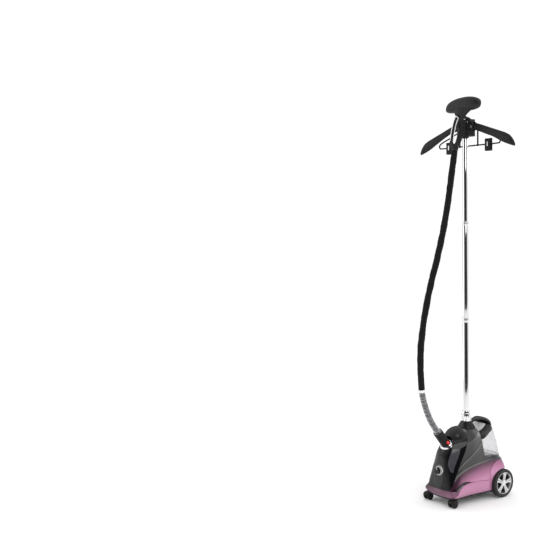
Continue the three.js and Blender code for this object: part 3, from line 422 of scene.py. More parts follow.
def lathe(profile, segments):
    """A body of revolution about Z. A profile runs from axis to axis or, off the axis, is a closed loop."""
    closed = profile[0][0] > 1e-6
    verts, index = [], []
    for r, z in profile:
        if r < 1e-6:
            index.append([len(verts)] * segments)
            verts.append((0, 0, z))
        else:
            index.append(list(range(len(verts), len(verts) + segments)))
            verts += [(r * math.cos(a), r * math.sin(a), z) for a in turns(segments)]
    faces = []
    for low, high in zip(index, index[1:] + (index[:1] if closed else [])):
        for k in range(segments):
            m = (k + 1) % segments
            face = [low[k], low[m], high[m], high[k]]
            face = [v for j, v in enumerate(face) if v != face[j - 1]]
            if len(set(face)) >= 3:
                faces.append(face)
    return verts, faces


def rod(radius, low, high, segments):
    return lathe([(0, low), (radius, low), (radius, high), (0, high)], segments)


def both_ends(half):
    """A profile completed with its mirror image at z = 0."""
    return [*half, *[(r, -z) for r, z in half[::-1]]]


def signed_power(v, power):
    return math.copysign(abs(v) ** power, v)


def loft(rings, cap=True, closed=False):
    """A skin over rings of points: capped at both ends, open, or closed from the last ring to the first."""
    n = len(rings[0])
    verts = [tuple(p) for row in rings for p in row]
    faces = []
    for level in range(len(rings) - 1):
        for i in range(n):
            a, b = level * n + i, level * n + (i + 1) % n
            faces.append([a, b, b + n, a + n])
    last = (len(rings) - 1) * n
    if closed:
        faces += [[last + i, last + (i + 1) % n, (i + 1) % n, i] for i in range(n)]
    elif cap:
        faces.append(list(range(n))[::-1])
        faces.append([last + i for i in range(n)])
    return verts, faces


def prism(points, low, high):
    """An outline in x and y carried from z = low to z = high."""
    return loft([[(x, y, low) for x, y in points], [(x, y, high) for x, y in points]])


def tube(points, radius, sides, steps):
    """A tube along a smooth curve. radius is a number or a function of the share of the way along."""
    line = catmull(points, steps)
    tangents = [line[min(i + 1, steps)] - line[max(i - 1, 0)] for i in range(steps + 1)]
    side = np.cross(tangents[0], vec(0, 0, 1))
    if np.linalg.norm(side) < 0.05 * np.linalg.norm(tangents[0]):
        side = np.cross(tangents[0], vec(0, 1, 0))
    rings = []
    for i, (p, t) in enumerate(zip(line, tangents)):
        t = t / np.linalg.norm(t)
        side = side - t * np.dot(side, t)
        side = side / np.linalg.norm(side)
        up = np.cross(side, t)
        r = radius(i / steps) if callable(radius) else radius
        rings.append([p + (side * math.cos(a) + up * math.sin(a)) * r for a in turns(sides)])
    return loft(rings)


def rounded(x0, x1, y0, y1, radius, corner=5):
    points = []
    for cx, cy, start in ((x1 - radius, y0 + radius, -90), (x1 - radius, y1 - radius, 0),
                          (x0 + radius, y1 - radius, 90), (x0 + radius, y0 + radius, 180)):
        for k in range(corner + 1):
            a = math.radians(start + 90 * k / corner)
            points.append((cx + radius * math.cos(a), cy + radius * math.sin(a)))
    return points


def moved(shape, matrix):
    verts, faces = shape
    return [tuple(matrix @ Vector(v)) for v in verts], faces


def across_x(points, x0, x1):
    """A side outline in (y, z) carried from x0 to x1."""
    verts, faces = prism(points, x0, x1)
    return [(z, x, y) for x, y, z in verts], faces


def across_y(points, y0, y1):
    """A front outline in (x, z) carried from y0 to y1."""
    verts, faces = prism(points, y0, y1)
    return [(x, z, y) for x, y, z in verts], [f[::-1] for f in faces]


def merged(*shapes):
    verts, faces = [], []
    for v, f in shapes:
        offset = len(verts)
        verts += list(v)
        faces += [[i + offset for i in face] for face in f]
    return verts, faces


def as_object(name, mesh, look):
    obj = bpy.data.objects.new(name, mesh)
    bpy.context.collection.objects.link(obj)
    mesh.materials.append(MATERIALS[look])
    return obj


def build(name, shape, look):
    verts, faces = shape
    mesh = bpy.data.meshes.new(name)
    mesh.from_pydata([tuple(float(c) * MM for c in v) for v in verts], [], faces)
    mesh.update()
    work = bmesh.new()
    work.from_mesh(mesh)
    bmesh.ops.recalc_face_normals(work, faces=work.faces)
    work.to_mesh(mesh)
    work.free()
    return as_object(name, mesh, look)


def settle(obj):
    """Applies every modifier, so the piece is one plain mesh."""
    bpy.context.view_layer.update()
    made = bpy.data.meshes.new_from_object(obj.evaluated_get(bpy.context.evaluated_depsgraph_get()))
    obj.modifiers.clear()
    obj.data = made
    return obj


def smoothed(obj, angle):
    for polygon in obj.data.polygons:
        polygon.use_smooth = True
    obj.data.set_sharp_from_angle(angle=math.radians(angle))
    return obj


def bevelled(obj, width, segments, angle):
    edge = obj.modifiers.new("bevel", "BEVEL")
    edge.width = width * MM
    edge.segments = segments
    edge.limit_method = "ANGLE"
    edge.angle_limit = math.radians(angle)
    edge.use_clamp_overlap = True
    return settle(obj)


def carved(obj, *tools, operation="DIFFERENCE"):
    """Cuts each tool, a shape or an object, out of the piece, or keeps what lies inside it."""
    for tool in tools:
        cutter = tool if isinstance(tool, bpy.types.Object) else build("cutter", tool, "matte_black")
        step = obj.modifiers.new("cut", "BOOLEAN")
        step.operation, step.solver, step.object = operation, "EXACT", cutter
        settle(obj)
        bpy.data.objects.remove(cutter)
    return obj


def place(obj, matrix, body, slot, *nodes):
    obj.data.transform(matrix)
    obj.data.update()
    if nodes:
        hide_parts(*nodes)
    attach(obj, body)
    return obj


def part(name, shape, look, body, nodes=(), matrix=HERE, bevel=0.0, angle=32, cuts=(), segments=2,
         bevel_angle=30, within=None, slot=None):
    """One piece: a shape that is kept within a tool, cut, bevelled, smoothed and put in its place."""
    obj = build(name, shape, look)
    if within:
        carved(obj, within, operation="INTERSECT")
    if cuts:
        carved(obj, *cuts)
    if bevel:
        bevelled(obj, bevel, segments, bevel_angle)
    smoothed(obj, angle)
    return place(obj, matrix, body, slot or SLOT_OF[look], *nodes)


# ---------------------------------------------------------------- steam hose
HOSE_PATH = [
    (0, -148.3, 264.8), (0, -161.9, 280.8), (0, -177, 300), (0, -195, 327), (0, -211, 360), (0, -226, 400),
    (0, -234.5, 436), (0, -239, 490), (0, -240, 550), (0, -236, 615), (0, -222, 690), (0, -205, 756),
    (0, -186, 820), (0, -158, 897), (0, -132, 975), (0, -112, 1046), (0, -95, 1115), (0, -82, 1180),
    (0, -70, 1245), (0, -60.6, 1290), (0.4, -57.5, 1314)]
HOSE_R = 11.0
RIB_PITCH = 5.8
ONCE_AROUND = 0.069  # metres round the hose, for the weave
CUFF = 6  # the point of the path where the sleeve starts


def resampled(points, step):
    """The smooth line through points as evenly spaced points, and how far along each one lies."""
    fine = catmull(points, 2400)
    far = np.concatenate([[0], np.cumsum([np.linalg.norm(b - a) for a, b in zip(fine, fine[1:])])])
    count = int(far[-1] / step)
    marks = np.linspace(0, far[-1], count + 1)
    line = np.stack([np.interp(marks, far, [p[k] for p in fine]) for k in range(3)], 1)
    return line, marks


def make_hose():
    line, marks = resampled(HOSE_PATH, 0.7)
    cuff_at = marks[np.argmin(np.linalg.norm(line - np.array(HOSE_PATH[CUFF]), axis=1))]
    sides = 40
    rings = []
    for i, (p, s) in enumerate(zip(line, marks)):
        t = line[min(i + 1, len(line) - 1)] - line[max(i - 1, 0)]
        t /= np.linalg.norm(t)
        side = vec(1, 0, 0) - t * t[0]
        side /= np.linalg.norm(side)
        up = np.cross(side, t)
        row = []
        for a in turns(sides):
            if s < cuff_at:
                r = HOSE_R - 0.5 + 1.5 * math.cos(2 * math.pi * s / RIB_PITCH)
            else:
                r = sleeve_radius(s - cuff_at, a, marks[-1] - s)
            row.append(p + (side * math.cos(a) + up * math.sin(a)) * r)
        rings.append(row)
    obj = build("steam_hose", loft(rings), "fabric")
    obj.data.materials.append(MATERIALS["hose_rib_highlight"])
    obj.data.materials.append(MATERIALS["hose_black"])
    wrap = obj.data.uv_layers.new(name="UVMap")
    for polygon in obj.data.polygons:
        ring_at = min(polygon.vertices) // sides
        s = marks[min(ring_at, len(marks) - 1)]
        # The rib crests take the bright look: painted highlights on the black corrugated hose.
        if s < cuff_at:
            crest = math.cos(2 * math.pi * (s + 0.35) / RIB_PITCH)
            polygon.material_index = 1 if crest > 0.3 else 2
        for loop in polygon.loop_indices:
            v = obj.data.loops[loop].vertex_index
            k = v % sides
            if k == 0 and any(obj.data.loops[m].vertex_index % sides == sides - 1
                              for m in polygon.loop_indices):
                k = sides
            wrap.data[loop].uv = (k / sides * ONCE_AROUND, marks[min(v // sides, len(marks) - 1)] * MM)
    smoothed(obj, 60)
    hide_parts("hose_sleeve", "hose_ribbed")
    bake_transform(obj)
    cuff = part("sleeve_cuff_band", lathe(both_ends([(9, -5), (12.6, -5), (13.2, -4.4)]), 48), "white",
                "base", ["sleeve_cuff"], socketed(*HOSE_PATH[CUFF], math.atan2(4, 27)), bevel=0.3)


def sleeve_radius(s, a, left):
    """Loose fabric: long soft folds that wander round the hose and short creases where it bends."""
    around = Vector((math.cos(a), math.sin(a), s / 34))
    fold = noise.noise(around * 1.1 + Vector((3, 7, 1)))
    crease = noise.noise(Vector((math.cos(a) * 2.2, math.sin(a) * 2.2, s / 9.0)))
    ends = min(1.0, s / 22, left / 18)
    return HOSE_R + 0.7 + ends * (1.5 * fold + 0.8 * crease)


# ---------------------------------------------------------------- housing surface
# [z, front y, corner x, corner y, waist x, hip x, hip y, rear y]
PLANS = [
    [34, -155, 66, -143, 71, 84, 112, 140], [47, -159.5, 73, -146, 76, 86, 116, 144],
    [62, -155, 65, -140, 77, 88, 118, 147], [90, -151, 58, -135, 77.5, 89, 120, 148],
    [120, -147, 52, -130, 76, 87, 113, 142], [150, -142, 45, -125, 74.5, 83, 98, 130],
    [190, -134, 38, -116, 71.5, 76, 88, 118], [228, -106, 32, -88, 66, 66, 76, 104],
    [252, -72, 26, -56, 50, 46, 54, 76], [266, -46, 20, -34, 33, 27, 36, 46]]


def level_points(z, front, right, rear):
    """The control points of one level, mirrored from its right side."""
    left = [(-x, y) for x, y in right][::-1]
    return [vec(x, y, z) for x, y in [(0, front), *right, (0, rear), *left]]


def plan_controls(z, front, corner_x, corner_y, waist_x, hip_x, hip_y, rear):
    along = lambda t: corner_y + (hip_y - corner_y) * t
    right = [(corner_x * 0.55, front + (corner_y - front) * 0.25), (corner_x, corner_y),
             (waist_x, along(0.33)), (waist_x * 0.35 + hip_x * 0.65, along(0.72)), (hip_x, hip_y),
             (hip_x * 0.6, rear - (rear - hip_y) * 0.2)]
    return level_points(z, front, right, rear)


AROUND, LEVELS = 160, 72


def housing_rings():
    """Rings of the housing from its floor edge up to the neck tower."""
    columns = [catmull(column, LEVELS) for column in zip(*[plan_controls(*row) for row in PLANS])]
    return [catmull([column[level] for column in columns], AROUND, closed=True, power=0.5)
            for level in range(LEVELS + 1)]


def inset_ring(ring, inset):
    n = len(ring)
    out = []
    for i, p in enumerate(ring):
        t = ring[(i + 1) % n] - ring[i - 1]
        t = vec(t[0], t[1], 0) / max(math.hypot(t[0], t[1]), 1e-9)
        out.append(p + vec(-t[1], t[0], 0) * inset)
    return out


HOUSING = housing_rings()
# Lines and outlines on the housing, seen from the side, as (y, z).
BEZEL_EDGE = [(-149.6, 60), (-120, 113), (-44, 249), (-34, 270)]
COWL_EDGE = [(-57, 226), (20, 257), (60, 273)]


def curved(points, count):
    return [(float(y), float(z)) for y, z in catmull(points, count)]


ROCKER_EDGE = [(-150, 30), *curved([(-143, 36), (-107, 67), (-78, 79), (-20, 81), (37, 75)], 16)]
FENDER_EDGE = [(38, 30), (37, 75), (42, 112), (60, 134), (86, 152)]
# A seam is such a line and the width of its gap.
BEZEL_SEAM, COWL_SEAM = (BEZEL_EDGE, 0.5), (COWL_EDGE, 0.5)
ROCKER_SEAM, FENDER_SEAM = (ROCKER_EDGE, 0.6), (FENDER_EDGE, 0.8)
SKIRT_SEAM = ([(-190, 60), (-110, 60)], 0.5)
ARC = [(-120, 113), (-105, 122.5), (-90, 130), (-66, 139), (-41, 146), (-15, 150), (10, 152), (50, 153.4),
       (86, 154)]
BAND = [(-133, 89.7), (-115, 106), (-102, 114.6), (-88, 122.5), (-65, 132.5), (-41, 139.5), (-15, 144),
        (10, 147), (50, 150.6), (86, 152.8)]
ARCH_R = 56.5
CREASE = [(12, 222), (-35, 190), (-81, 156), (-108, 131), (-150, 80)]
CHEEK = [*curved([(-87, 206), (-93, 193), (-104, 173), (-116, 150), (-127, 127)], 10),
         *curved([(-132, 125), (-135, 136), (-133, 158), (-125, 184), (-110, 206)], 10)]
REAR_PANEL = [*FENDER_EDGE, (86, 156.6), (180, 156.6), (180, 30)]
TANK_FRONT = [(15, 156), (12, 205), (11, 228), (20, 257), (22, 272)]
RECESS = [(-160, 36), (-147, 50), *curved([(-126, 71), (-107, 83), (-88, 88), (-70, 86), (-55, 82)], 12)]


def half_width(y, z):
    """How far the housing reaches from X = 0 at a side-view point."""
    level = min(range(LEVELS + 1), key=lambda k: abs(HOUSING[k][0][2] - z))
    row = [p for p in HOUSING[level] if p[0] > 0]
    near = sorted(row, key=lambda p: abs(p[1] - y))[:2]
    return max(p[0] for p in near)


def gap_cuts(line, width):
    """Planes along both sides of a seam, with the stretch that each one covers."""
    cuts = []
    for (y0, z0), (y1, z1) in zip(line, line[1:]):
        t = vec(y1 - y0, z1 - z0)
        t /= np.linalg.norm(t)
        n = vec(-t[1], t[0])
        for sign in (-0.5, 0.5) if width else (0,):
            cuts.append((vec(y0, z0) + n * width * sign, n, vec(min(y0, y1), min(z0, z1)) - 6,
                         vec(max(y0, y1), max(z0, z1)) + 6))
    return cuts


def split(work, line, width=0.0):
    """Cuts the faces of a skin near each stretch of a side-view line."""
    for point, normal, low, high in gap_cuts(line, width):
        near = [f for f in work.faces if low[0] < f.calc_center_median().y < high[0]
                and low[1] < f.calc_center_median().z < high[1]]
        geometry = list({e for f in near for e in f.edges}) + list({v for f in near for v in f.verts}) + near
        bmesh.ops.bisect_plane(work, geom=geometry, dist=0.001, plane_co=(0, point[0], point[1]),
                               plane_no=(0, normal[0], normal[1]))


def housing_mesh():
    """The whole housing skin, cut along every line where two pieces or two colours meet."""
    rings = list(HOUSING)
    top = rings.pop()
    rim = ((0, 1.4), (0.45, 0.45), (1.5, 0), (12, 0), (20, 0))
    rings += [inset_ring(top, inset) - vec(0, 0, drop) for inset, drop in rim]
    verts, faces = loft(rings, cap=False)
    mesh = bpy.data.meshes.new("housing_skin")
    mesh.from_pydata([tuple(v) for v in verts], [], faces)
    work = bmesh.new()
    work.from_mesh(mesh)
    bmesh.ops.recalc_face_normals(work, faces=work.faces)
    for line, width in (BEZEL_SEAM, COWL_SEAM, ROCKER_SEAM, FENDER_SEAM, SKIRT_SEAM):
        split(work, line, width)
    return work


SKIN = housing_mesh()


def inside(point, polygon):
    y, z = point
    found = False
    for (y0, z0), (y1, z1) in zip(polygon, polygon[1:] + polygon[:1]):
        if (z0 > z) != (z1 > z) and y < (y1 - y0) * (z - z0) / (z1 - z0) + y0:
            found = not found
    return found


def line_distance(point, line):
    best = 1e9
    q = vec(*point)
    for a, b in zip(line, line[1:]):
        a, b = vec(*a), vec(*b)
        t = np.clip(np.dot(q - a, b - a) / np.dot(b - a, b - a), 0, 1)
        best = min(best, np.linalg.norm(q - a - (b - a) * t))
    return best


def shell(name, polygon, look, nodes=(), side=0, seams=(), keep=None, lift=0.0, thickness=2.3, bevel=0.45,
          shift=None, cuts=(), fade=None):
    """A moulded panel: the part of the housing skin inside a side-view outline, thickened and bevelled."""
    work = SKIN.copy()
    y0, z0 = (min(p[k] for p in polygon) - 9 for k in (0, 1))
    y1, z1 = (max(p[k] for p in polygon) + 9 for k in (0, 1))
    far = [f for f in work.faces if not (y0 < f.calc_center_median().y < y1
                                         and z0 < f.calc_center_median().z < z1
                                         and (side == 0 or f.calc_center_median().x * side > 0))]
    bmesh.ops.delete(work, geom=far, context="FACES")
    split(work, [*polygon, polygon[0]])
    drop = []
    for face in work.faces:
        c = face.calc_center_median()
        ok = inside((c.y, c.z), polygon)
        ok = ok and not any(line_distance((c.y, c.z), line) < width / 2 for line, width in seams)
        if not ok or (keep and not keep(c, face)):
            drop.append(face)
    bmesh.ops.delete(work, geom=drop, context="FACES")
    bmesh.ops.remove_doubles(work, verts=work.verts, dist=0.3)
    work.normal_update()
    if lift or shift:
        places = [v.co + v.normal * (lift + (shift(v.co) if shift else 0)) for v in work.verts]
        for v, p in zip(work.verts, places):
            v.co = p
    for v in work.verts:
        v.co *= MM
    mesh = bpy.data.meshes.new(name)
    work.to_mesh(mesh)
    work.free()
    obj = as_object(name, mesh, look)
    thick = obj.modifiers.new("thickness", "SOLIDIFY")
    thick.thickness, thick.offset = thickness * MM, -1
    settle(obj)
    if cuts:
        carved(obj, *cuts)
    if bevel:
        bevelled(obj, bevel, 2, 50)
    if fade:
        measure_below(obj, fade)
    smoothed(obj, 40)
    even = obj.modifiers.new("even", "WEIGHTED_NORMAL")
    even.keep_sharp = True
    settle(obj)
    return place(obj, HERE, "base", SLOT_OF[look], *nodes)


def measure_below(obj, line):
    """Stores how far each corner lies below a side-view line, for a lacquer that fades there."""
    wrap = obj.data.uv_layers.new(name="UVMap")
    for loop in obj.data.loops:
        y, z = obj.data.vertices[loop.vertex_index].co.yz
        edge = np.interp(y / MM, [p[0] for p in line], [p[1] for p in line])
        wrap.data[loop.index].uv = (y, edge * MM - z - 0.8 * max(0.0, -0.1 - y))


def within_hood(c):
    q = Matrix.Rotation(-HOOD_LEAN, 3, "X") @ (Vector(c) - Vector(HOOD_CENTRE))
    return sum((far / radius) ** 2 for far, radius in zip(q, HOOD_COVERS)) < 1 and c.z > 227.5


def within_socket(c):
    q = SOCKET.inverted() @ (Vector(c) * MM)
    return math.hypot(q.x, q.y) < 0.0245 and q.z > -0.04


def open_top(c, face):
    """Leaves out what the dome, the hose socket and the pole socket cover."""
    if c.z > 258 and math.hypot(c.x, c.y) < 14.8:
        return False
    return not all(within_hood(v.co) or within_socket(v.co) for v in face.verts)


def crease(co):
    """The soft ridge that runs down each side from the tank to the skirt."""
    d = line_distance((co.y, co.z), CREASE)
    return 1.5 * clear_of_bezel(co) * max(0.0, 1 - d / 8) ** 1.6 if abs(co.x) > 20 else 0.0


def clear_of_bezel(co):
    """0 beside the bezel, rising to 1 a little away from it."""
    return min(1.0, max(0.0, line_distance((co.y, co.z), BEZEL_EDGE) - 2) / 12)


def make_housing():
    shell("bezel", [*BEZEL_EDGE, (-34, 300), (-220, 300), (-220, 60)], "gloss_black", ["front_bezel"],
          seams=(BEZEL_SEAM, SKIRT_SEAM), keep=open_top)
    shell("cowl", [(-57, 226), (20, 257), (22, 300), (-34, 300), (-34, 270), (-44, 249)], "satin_black",
          ["top_cowl"], seams=(BEZEL_SEAM, COWL_SEAM), keep=open_top)
    shell("skirt", [(-220, 20), (-152, 20), (-150, 30), (-143, 36), (-115, 60), (-220, 60)], "pink_skirt",
          ["front_skirt"], seams=(ROCKER_SEAM, SKIRT_SEAM))
    upper = [*ARC, (86, 156.6), *TANK_FRONT[:4], (-57, 226)]
    band = [*ARC, *BAND[::-1]]
    lower = [(-149.6, 60), *BAND[:-1], *FENDER_EDGE[:0:-1], (-20, 81), *RECESS[:1:-1]]
    for side, s in SIDES:
        # The side shells carry painted shading: darker low down, lighter towards the top and front.
        shell(f"side_shell_{side}", upper, "satin_side_shaded", [f"body_shell_{side}"], s,
              (BEZEL_SEAM, COWL_SEAM), shift=crease)
        # A light grey strip along the crease: a painted highlight on the ridge.
        shell(f"crease_line_{side}", ribbon(CREASE[:4], 0.8), "crease_highlight_grey", (), s,
              (BEZEL_SEAM,), lift=0.15, thickness=1.0, bevel=0.2, shift=lambda co: 1.3 * clear_of_bezel(co))
        # The grey band under the side shell: a painted highlight along the shell's rounded lower edge.
        shell(f"side_band_{side}", band, "band_grey", (), s, (BEZEL_SEAM, FENDER_SEAM),
              lift=-0.5, bevel=0.5)
        shell(f"side_panel_{side}", lower, "pink_side", (), s,
              (BEZEL_SEAM, FENDER_SEAM, ROCKER_SEAM, SKIRT_SEAM), lift=-1.2, fade=BAND)
        shell(f"recess_{side}", [(-147, 40), *RECESS[1:], (-40, 84), (-40, 70), (-107, 58)], "plum_gloss",
              (), s, lift=-3.0, thickness=1.5, bevel=0)
        shell(f"recess_strip_{side}", [(-137, 50), (-121, 65), (-104, 75), (-95, 78.4), (-92, 73.5),
                                       (-107, 66.5), (-126, 50)], "band_grey", (), s, (ROCKER_SEAM,),
              lift=-1.4, thickness=1.2, bevel=0.3)
        shell(f"rocker_{side}", [*ROCKER_EDGE, (37, 30)], "pink_rocker", [f"rocker_panel_{side}"], s,
              (ROCKER_SEAM, FENDER_SEAM), bevel=0.8)
        # The fender's lighter band near the arch is a painted highlight.
        shell(f"arch_{side}", REAR_PANEL, "pink_fender", [f"fender_{side}"], s, (FENDER_SEAM,),
              keep=lambda c, face: abs(c.x) > 61 and c.z < rear_top(c.y),
              cuts=[wheel_well(s, 60, ARCH_R, 70, 96)], bevel=0.7)
        # The cheek facets are gloss black; their lighter grey is a painted reflection.
        shell(f"cheek_{side}", CHEEK, "cheek_reflection_grey", (), s, lift=0.55, thickness=1.2, bevel=0.4)
    shell("rear_shell", REAR_PANEL, "pink_fender",
          ["rear_housing"], 0, (FENDER_SEAM,), keep=lambda c, face: abs(c.x) < 62.5 and c.z < rear_top(c.y))


def wheel_well(s, x, radius, length, segments):
    """The round space for a wheel, from x outwards."""
    return moved(rod(radius, 0, length, segments),
                 Matrix.Translation((s * x, *WHEEL_YZ)) @ Matrix.Rotation(s * math.pi / 2, 4, "Y"))


def ribbon(line, half):
    """A narrow band along both sides of a line."""
    points = [vec(*p) for p in line]
    edges = []
    for sign in (1, -1):
        row = []
        for i, p in enumerate(points):
            t = points[min(i + 1, len(points) - 1)] - points[max(i - 1, 0)]
            t /= np.linalg.norm(t)
            row.append((p[0] - t[1] * half * sign, p[1] + t[0] * half * sign))
        edges.append(row)
    return [*edges[0], *edges[1][::-1]]


def rear_top(y):
    """The height of the sloping upper edge of the rear panels."""
    return 156 - (y - 15) * 26 / 185


# ---------------------------------------------------------------- dial and front trim
def front_y(x, z):
    """Where the front of the housing lies, seen from the front."""
    levels = [row[0][2] for row in HOUSING]
    k = min(max(int(np.searchsorted(levels, z)), 1), LEVELS)
    share = (z - levels[k - 1]) / (levels[k] - levels[k - 1])
    found = []
    for row in HOUSING[k - 1], HOUSING[k]:
        near = sorted((p[0], p[1]) for p in row if p[1] < -20)
        found.append(np.interp(x, [p[0] for p in near], [p[1] for p in near]))
    return found[0] * (1 - share) + found[1] * share


def sheet_body(front, back):
    """A closed body between two grids of points of the same size."""
    rows, cols = len(front), len(front[0])
    verts = [tuple(p) for row in front for p in row] + [tuple(p) for row in back for p in row]
    at = lambda i, j, far=0: far * rows * cols + i * cols + j
    faces = []
    for i in range(rows - 1):
        for j in range(cols - 1):
            faces.append([at(i, j), at(i, j + 1), at(i + 1, j + 1), at(i + 1, j)])
            faces.append([at(i, j, 1), at(i + 1, j, 1), at(i + 1, j + 1, 1), at(i, j + 1, 1)])
    for i in range(rows - 1):
        for j in 0, cols - 1:
            faces.append([at(i, j), at(i + 1, j), at(i + 1, j, 1), at(i, j, 1)])
    for j in range(cols - 1):
        for i in 0, rows - 1:
            faces.append([at(i, j), at(i, j, 1), at(i, j + 1, 1), at(i, j + 1)])
    return verts, faces


def bib_half_width(z):
    bottom = [((1 - t) ** 2 * 22 + 2 * t * (1 - t) * 21,
               (1 - t) ** 2 * 84 + 2 * t * (1 - t) * 62.5 + t * t * 61.5) for t in np.linspace(1, 0, 24)]
    side = [(22, 84), (21, 140), (15, 176)]
    crown = [(15 * math.sqrt(1 - t), 176 + 2.5 * t) for t in np.linspace(0, 1, 12)]
    outline = bottom + side[1:] + crown[1:]
    return np.interp(z, [p[1] for p in outline], [max(p[0], 0.4) for p in outline])


def bib_point(x, z, lift):
    """A point that stands off the front of the housing."""
    return (x, front_y(x, z) - lift, z)


def make_bib():
    heights = [61.5 + 117 * (0.5 - 0.5 * math.cos(math.pi * t / 72)) for t in range(73)]
    shares = np.linspace(-1, 1, 29)
    front, back = [], []
    for z in heights:
        w = bib_half_width(z)
        roll = [1.3 * max(0.0, (abs(s) - 0.86) / 0.14) ** 2 for s in shares]
        front.append([bib_point(s * w, z, 2.3 - r) for s, r in zip(shares, roll)])
        back.append([bib_point(s * w, z, 0.25) for s in shares])
    part("bib", sheet_body(front, back), "bib_black", "base", ["dial_panel"], bevel=0.5, angle=40)
    for k, z in enumerate((182.6, 188.6)):
        line = [(x, front_y(x, z) + 0.4, z - 0.006 * x * x) for x in np.linspace(-17 - k, 17 + k, 9)]
        part(f"throat_ridge_{k + 1}",
             tube(line, lambda t: 2.3 * math.sin(math.pi * min(max(t, 0.03), 0.97)) ** 0.4, 16, 40),
             "gloss_black", "base")


def make_dial():
    part("dial_surround", lathe([(15.6, -4), (17.2, -4), (17.2, -1.0), (16.9, -0.6), (15.9, -0.6),
                                 (15.6, -0.9)], 72), "white", "base", matrix=DIAL, bevel=0.15)
    marks = []
    for k in range(6):
        a = math.radians(95 - 20 * k)
        for reach, wide in ((18.4, 1.1), (20.3, 0.7)):
            x, z = reach * math.cos(a), 126 + reach * math.sin(a)
            y = front_y(x, z) - 2.3
            tick = prism(rounded(-wide, wide, -0.5, 0.5, 0.3, 3), -0.12, 0.14)
            facing = Matrix.Rotation(DIAL_TURN, 4, "X") @ Matrix.Rotation(a, 4, "Z")
            marks.append(moved(tick, Matrix.Translation((x, y, z)) @ facing))
    part("dial_marks", merged(*marks), "white", "base")
    grip = [(11.7, 1.8), (11.5, 8.6), (11.1, 9.8), (10.3, 10.6)]
    rings = []
    for r, z in [(4, -9), (4, 0.3), (14.3, 0.3), (14.6, 0.6), (14.4, 1.4), (12.6, 1.8), *grip, (9, 10.9),
                 (4, 11.0), (0.5, 11)]:
        wave = 0.35 if 8 > abs(z - 5) and r > 11 and 1.8 < z < 9.5 else 0.0
        reach = [(a, r - wave * (0.5 - 0.5 * math.cos(36 * a))) for a in turns(144)]
        rings.append([(far * math.cos(a), far * math.sin(a), z) for a, far in reach])
    part("dial_grip", loft(rings), "gloss_black", "dial", ["dial_knob"], DIAL)
    part("dial_ring", lathe([(12.9, 1.2), (14.1, 1.2), (14.1, 1.75), (13.9, 2.0), (13.1, 2.1), (12.9, 1.9)],
                            72), "white", "dial", matrix=DIAL, bevel=0.1)
    part("dial_pointer", prism(rounded(-0.75, 0.75, 3.2, 9.6, 0.7, 4), 10.4, 11.25), "white", "dial",
         matrix=DIAL, bevel=0.12)


# ---------------------------------------------------------------- hose connector
def ribbed(profile, count, depth):
    """A closed body of revolution of (radius, height, share) rows; the ribs bite in by share of depth."""
    rings = []
    for r, z, share in profile:
        reach = [(a, r - depth * share * (0.5 - 0.5 * math.cos(count * a)) ** 0.6) for a in turns(count * 8)]
        rings.append([(far * math.cos(a), far * math.sin(a), z) for a, far in reach])
    return loft(rings, closed=True)


def oval(half_y, half_z, x, z):
    return [(x, half_y * math.cos(a), z + half_z * math.sin(a)) for a in turns(48)]


def make_connector():
    part("socket_cup", lathe([(17, -28), (27, -28), (27, -3.2), (26.6, -1.6), (25.6, -0.6), (24.2, -0.2),
                              (17.4, -0.2), (17, -0.6)], 72), "gloss_black", "base", ["hose_socket"],
         SOCKET)
    part("ring_nut", ribbed([(18.6, 0.4, 0), (26.2, 0.4, 0.2), (27.2, 1.5, 1), (27.2, 9.4, 1),
                             (26.6, 10.6, 0.3), (25.6, 11.2, 0), (24.2, 13.6, 0), (22.2, 16.6, 0),
                             (20.2, 18.2, 0), (18.6, 18.4, 0)], 40, 1.3), "chrome", "connector_ring",
         ["connector_ring"], SOCKET, bevel=0.12)
    barrel = lathe([(6, -24), (17.2, -24), (18, -23.2), (18, 14), (18, 58), (17.7, 58.6), (17.7, 59.8),
                    (18, 60.4), (18, 83), (17.7, 84.8), (16.8, 86.4), (15.4, 87.5), (14.2, 87.9),
                    (12.7, 87.4), (12.7, 74), (6, 73)], 80)
    slots = []
    for turn, z in ((-0.55, 45), (-2.4, 45), (0.55, 66), (-1.5, 70), (1.57, 45)):
        slot = prism(rounded(-1.3, 1.3, -3.2, 3.2, 0.8, 3), 16.6, 20)
        slots.append(moved(slot, Matrix.Rotation(turn, 4, "Z") @ Matrix.Translation((0, 0, z)) @ TO_X))
    pocket = loft([oval(5.9, 8.9, 13, 28), oval(5.9, 8.9, 21, 28)])
    part("connector_barrel", barrel, "matte_black", "base", ["hose_connector"], SOCKET, cuts=[*slots, pocket],
         bevel=0.12)
    for k, (r, z) in enumerate(((16.2, 86.4), (13.8, 87.6))):
        part(f"connector_end_ring_{k + 1}", lathe([(r - 0.5, z - 1), (r + 0.45, z - 1), (r + 0.45, z + 0.2),
                                                   (r + 0.2, z + 0.5), (r - 0.3, z + 0.5),
                                                   (r - 0.5, z + 0.2)], 64), "silver", "base",
             matrix=SOCKET)
    domed = [oval(5.5 * s, 8.5 * s, x, 28) for s, x in ((0.98, 15.6), (1, 16.0), (1, 19.2), (0.95, 19.9),
                                                        (0.84, 20.4), (0.6, 20.7), (0.3, 20.8),
                                                        (0.05, 20.82))]
    part("button_cap", loft(domed), "red", "release_button", ["release_button"], SOCKET)


def ball(rx, ry, rz, sides, down):
    """An ellipsoid in the place and lean of the dome."""
    rings = []
    for k in range(1, down):
        t = math.pi * k / down
        rings.append([(rx * math.sin(t) * math.cos(a), ry * math.sin(t) * math.sin(a), -rz * math.cos(t))
                      for a in turns(sides)])
    return moved(loft(rings), Matrix.Translation(HOOD_CENTRE) @ Matrix.Rotation(HOOD_LEAN, 4, "X"))


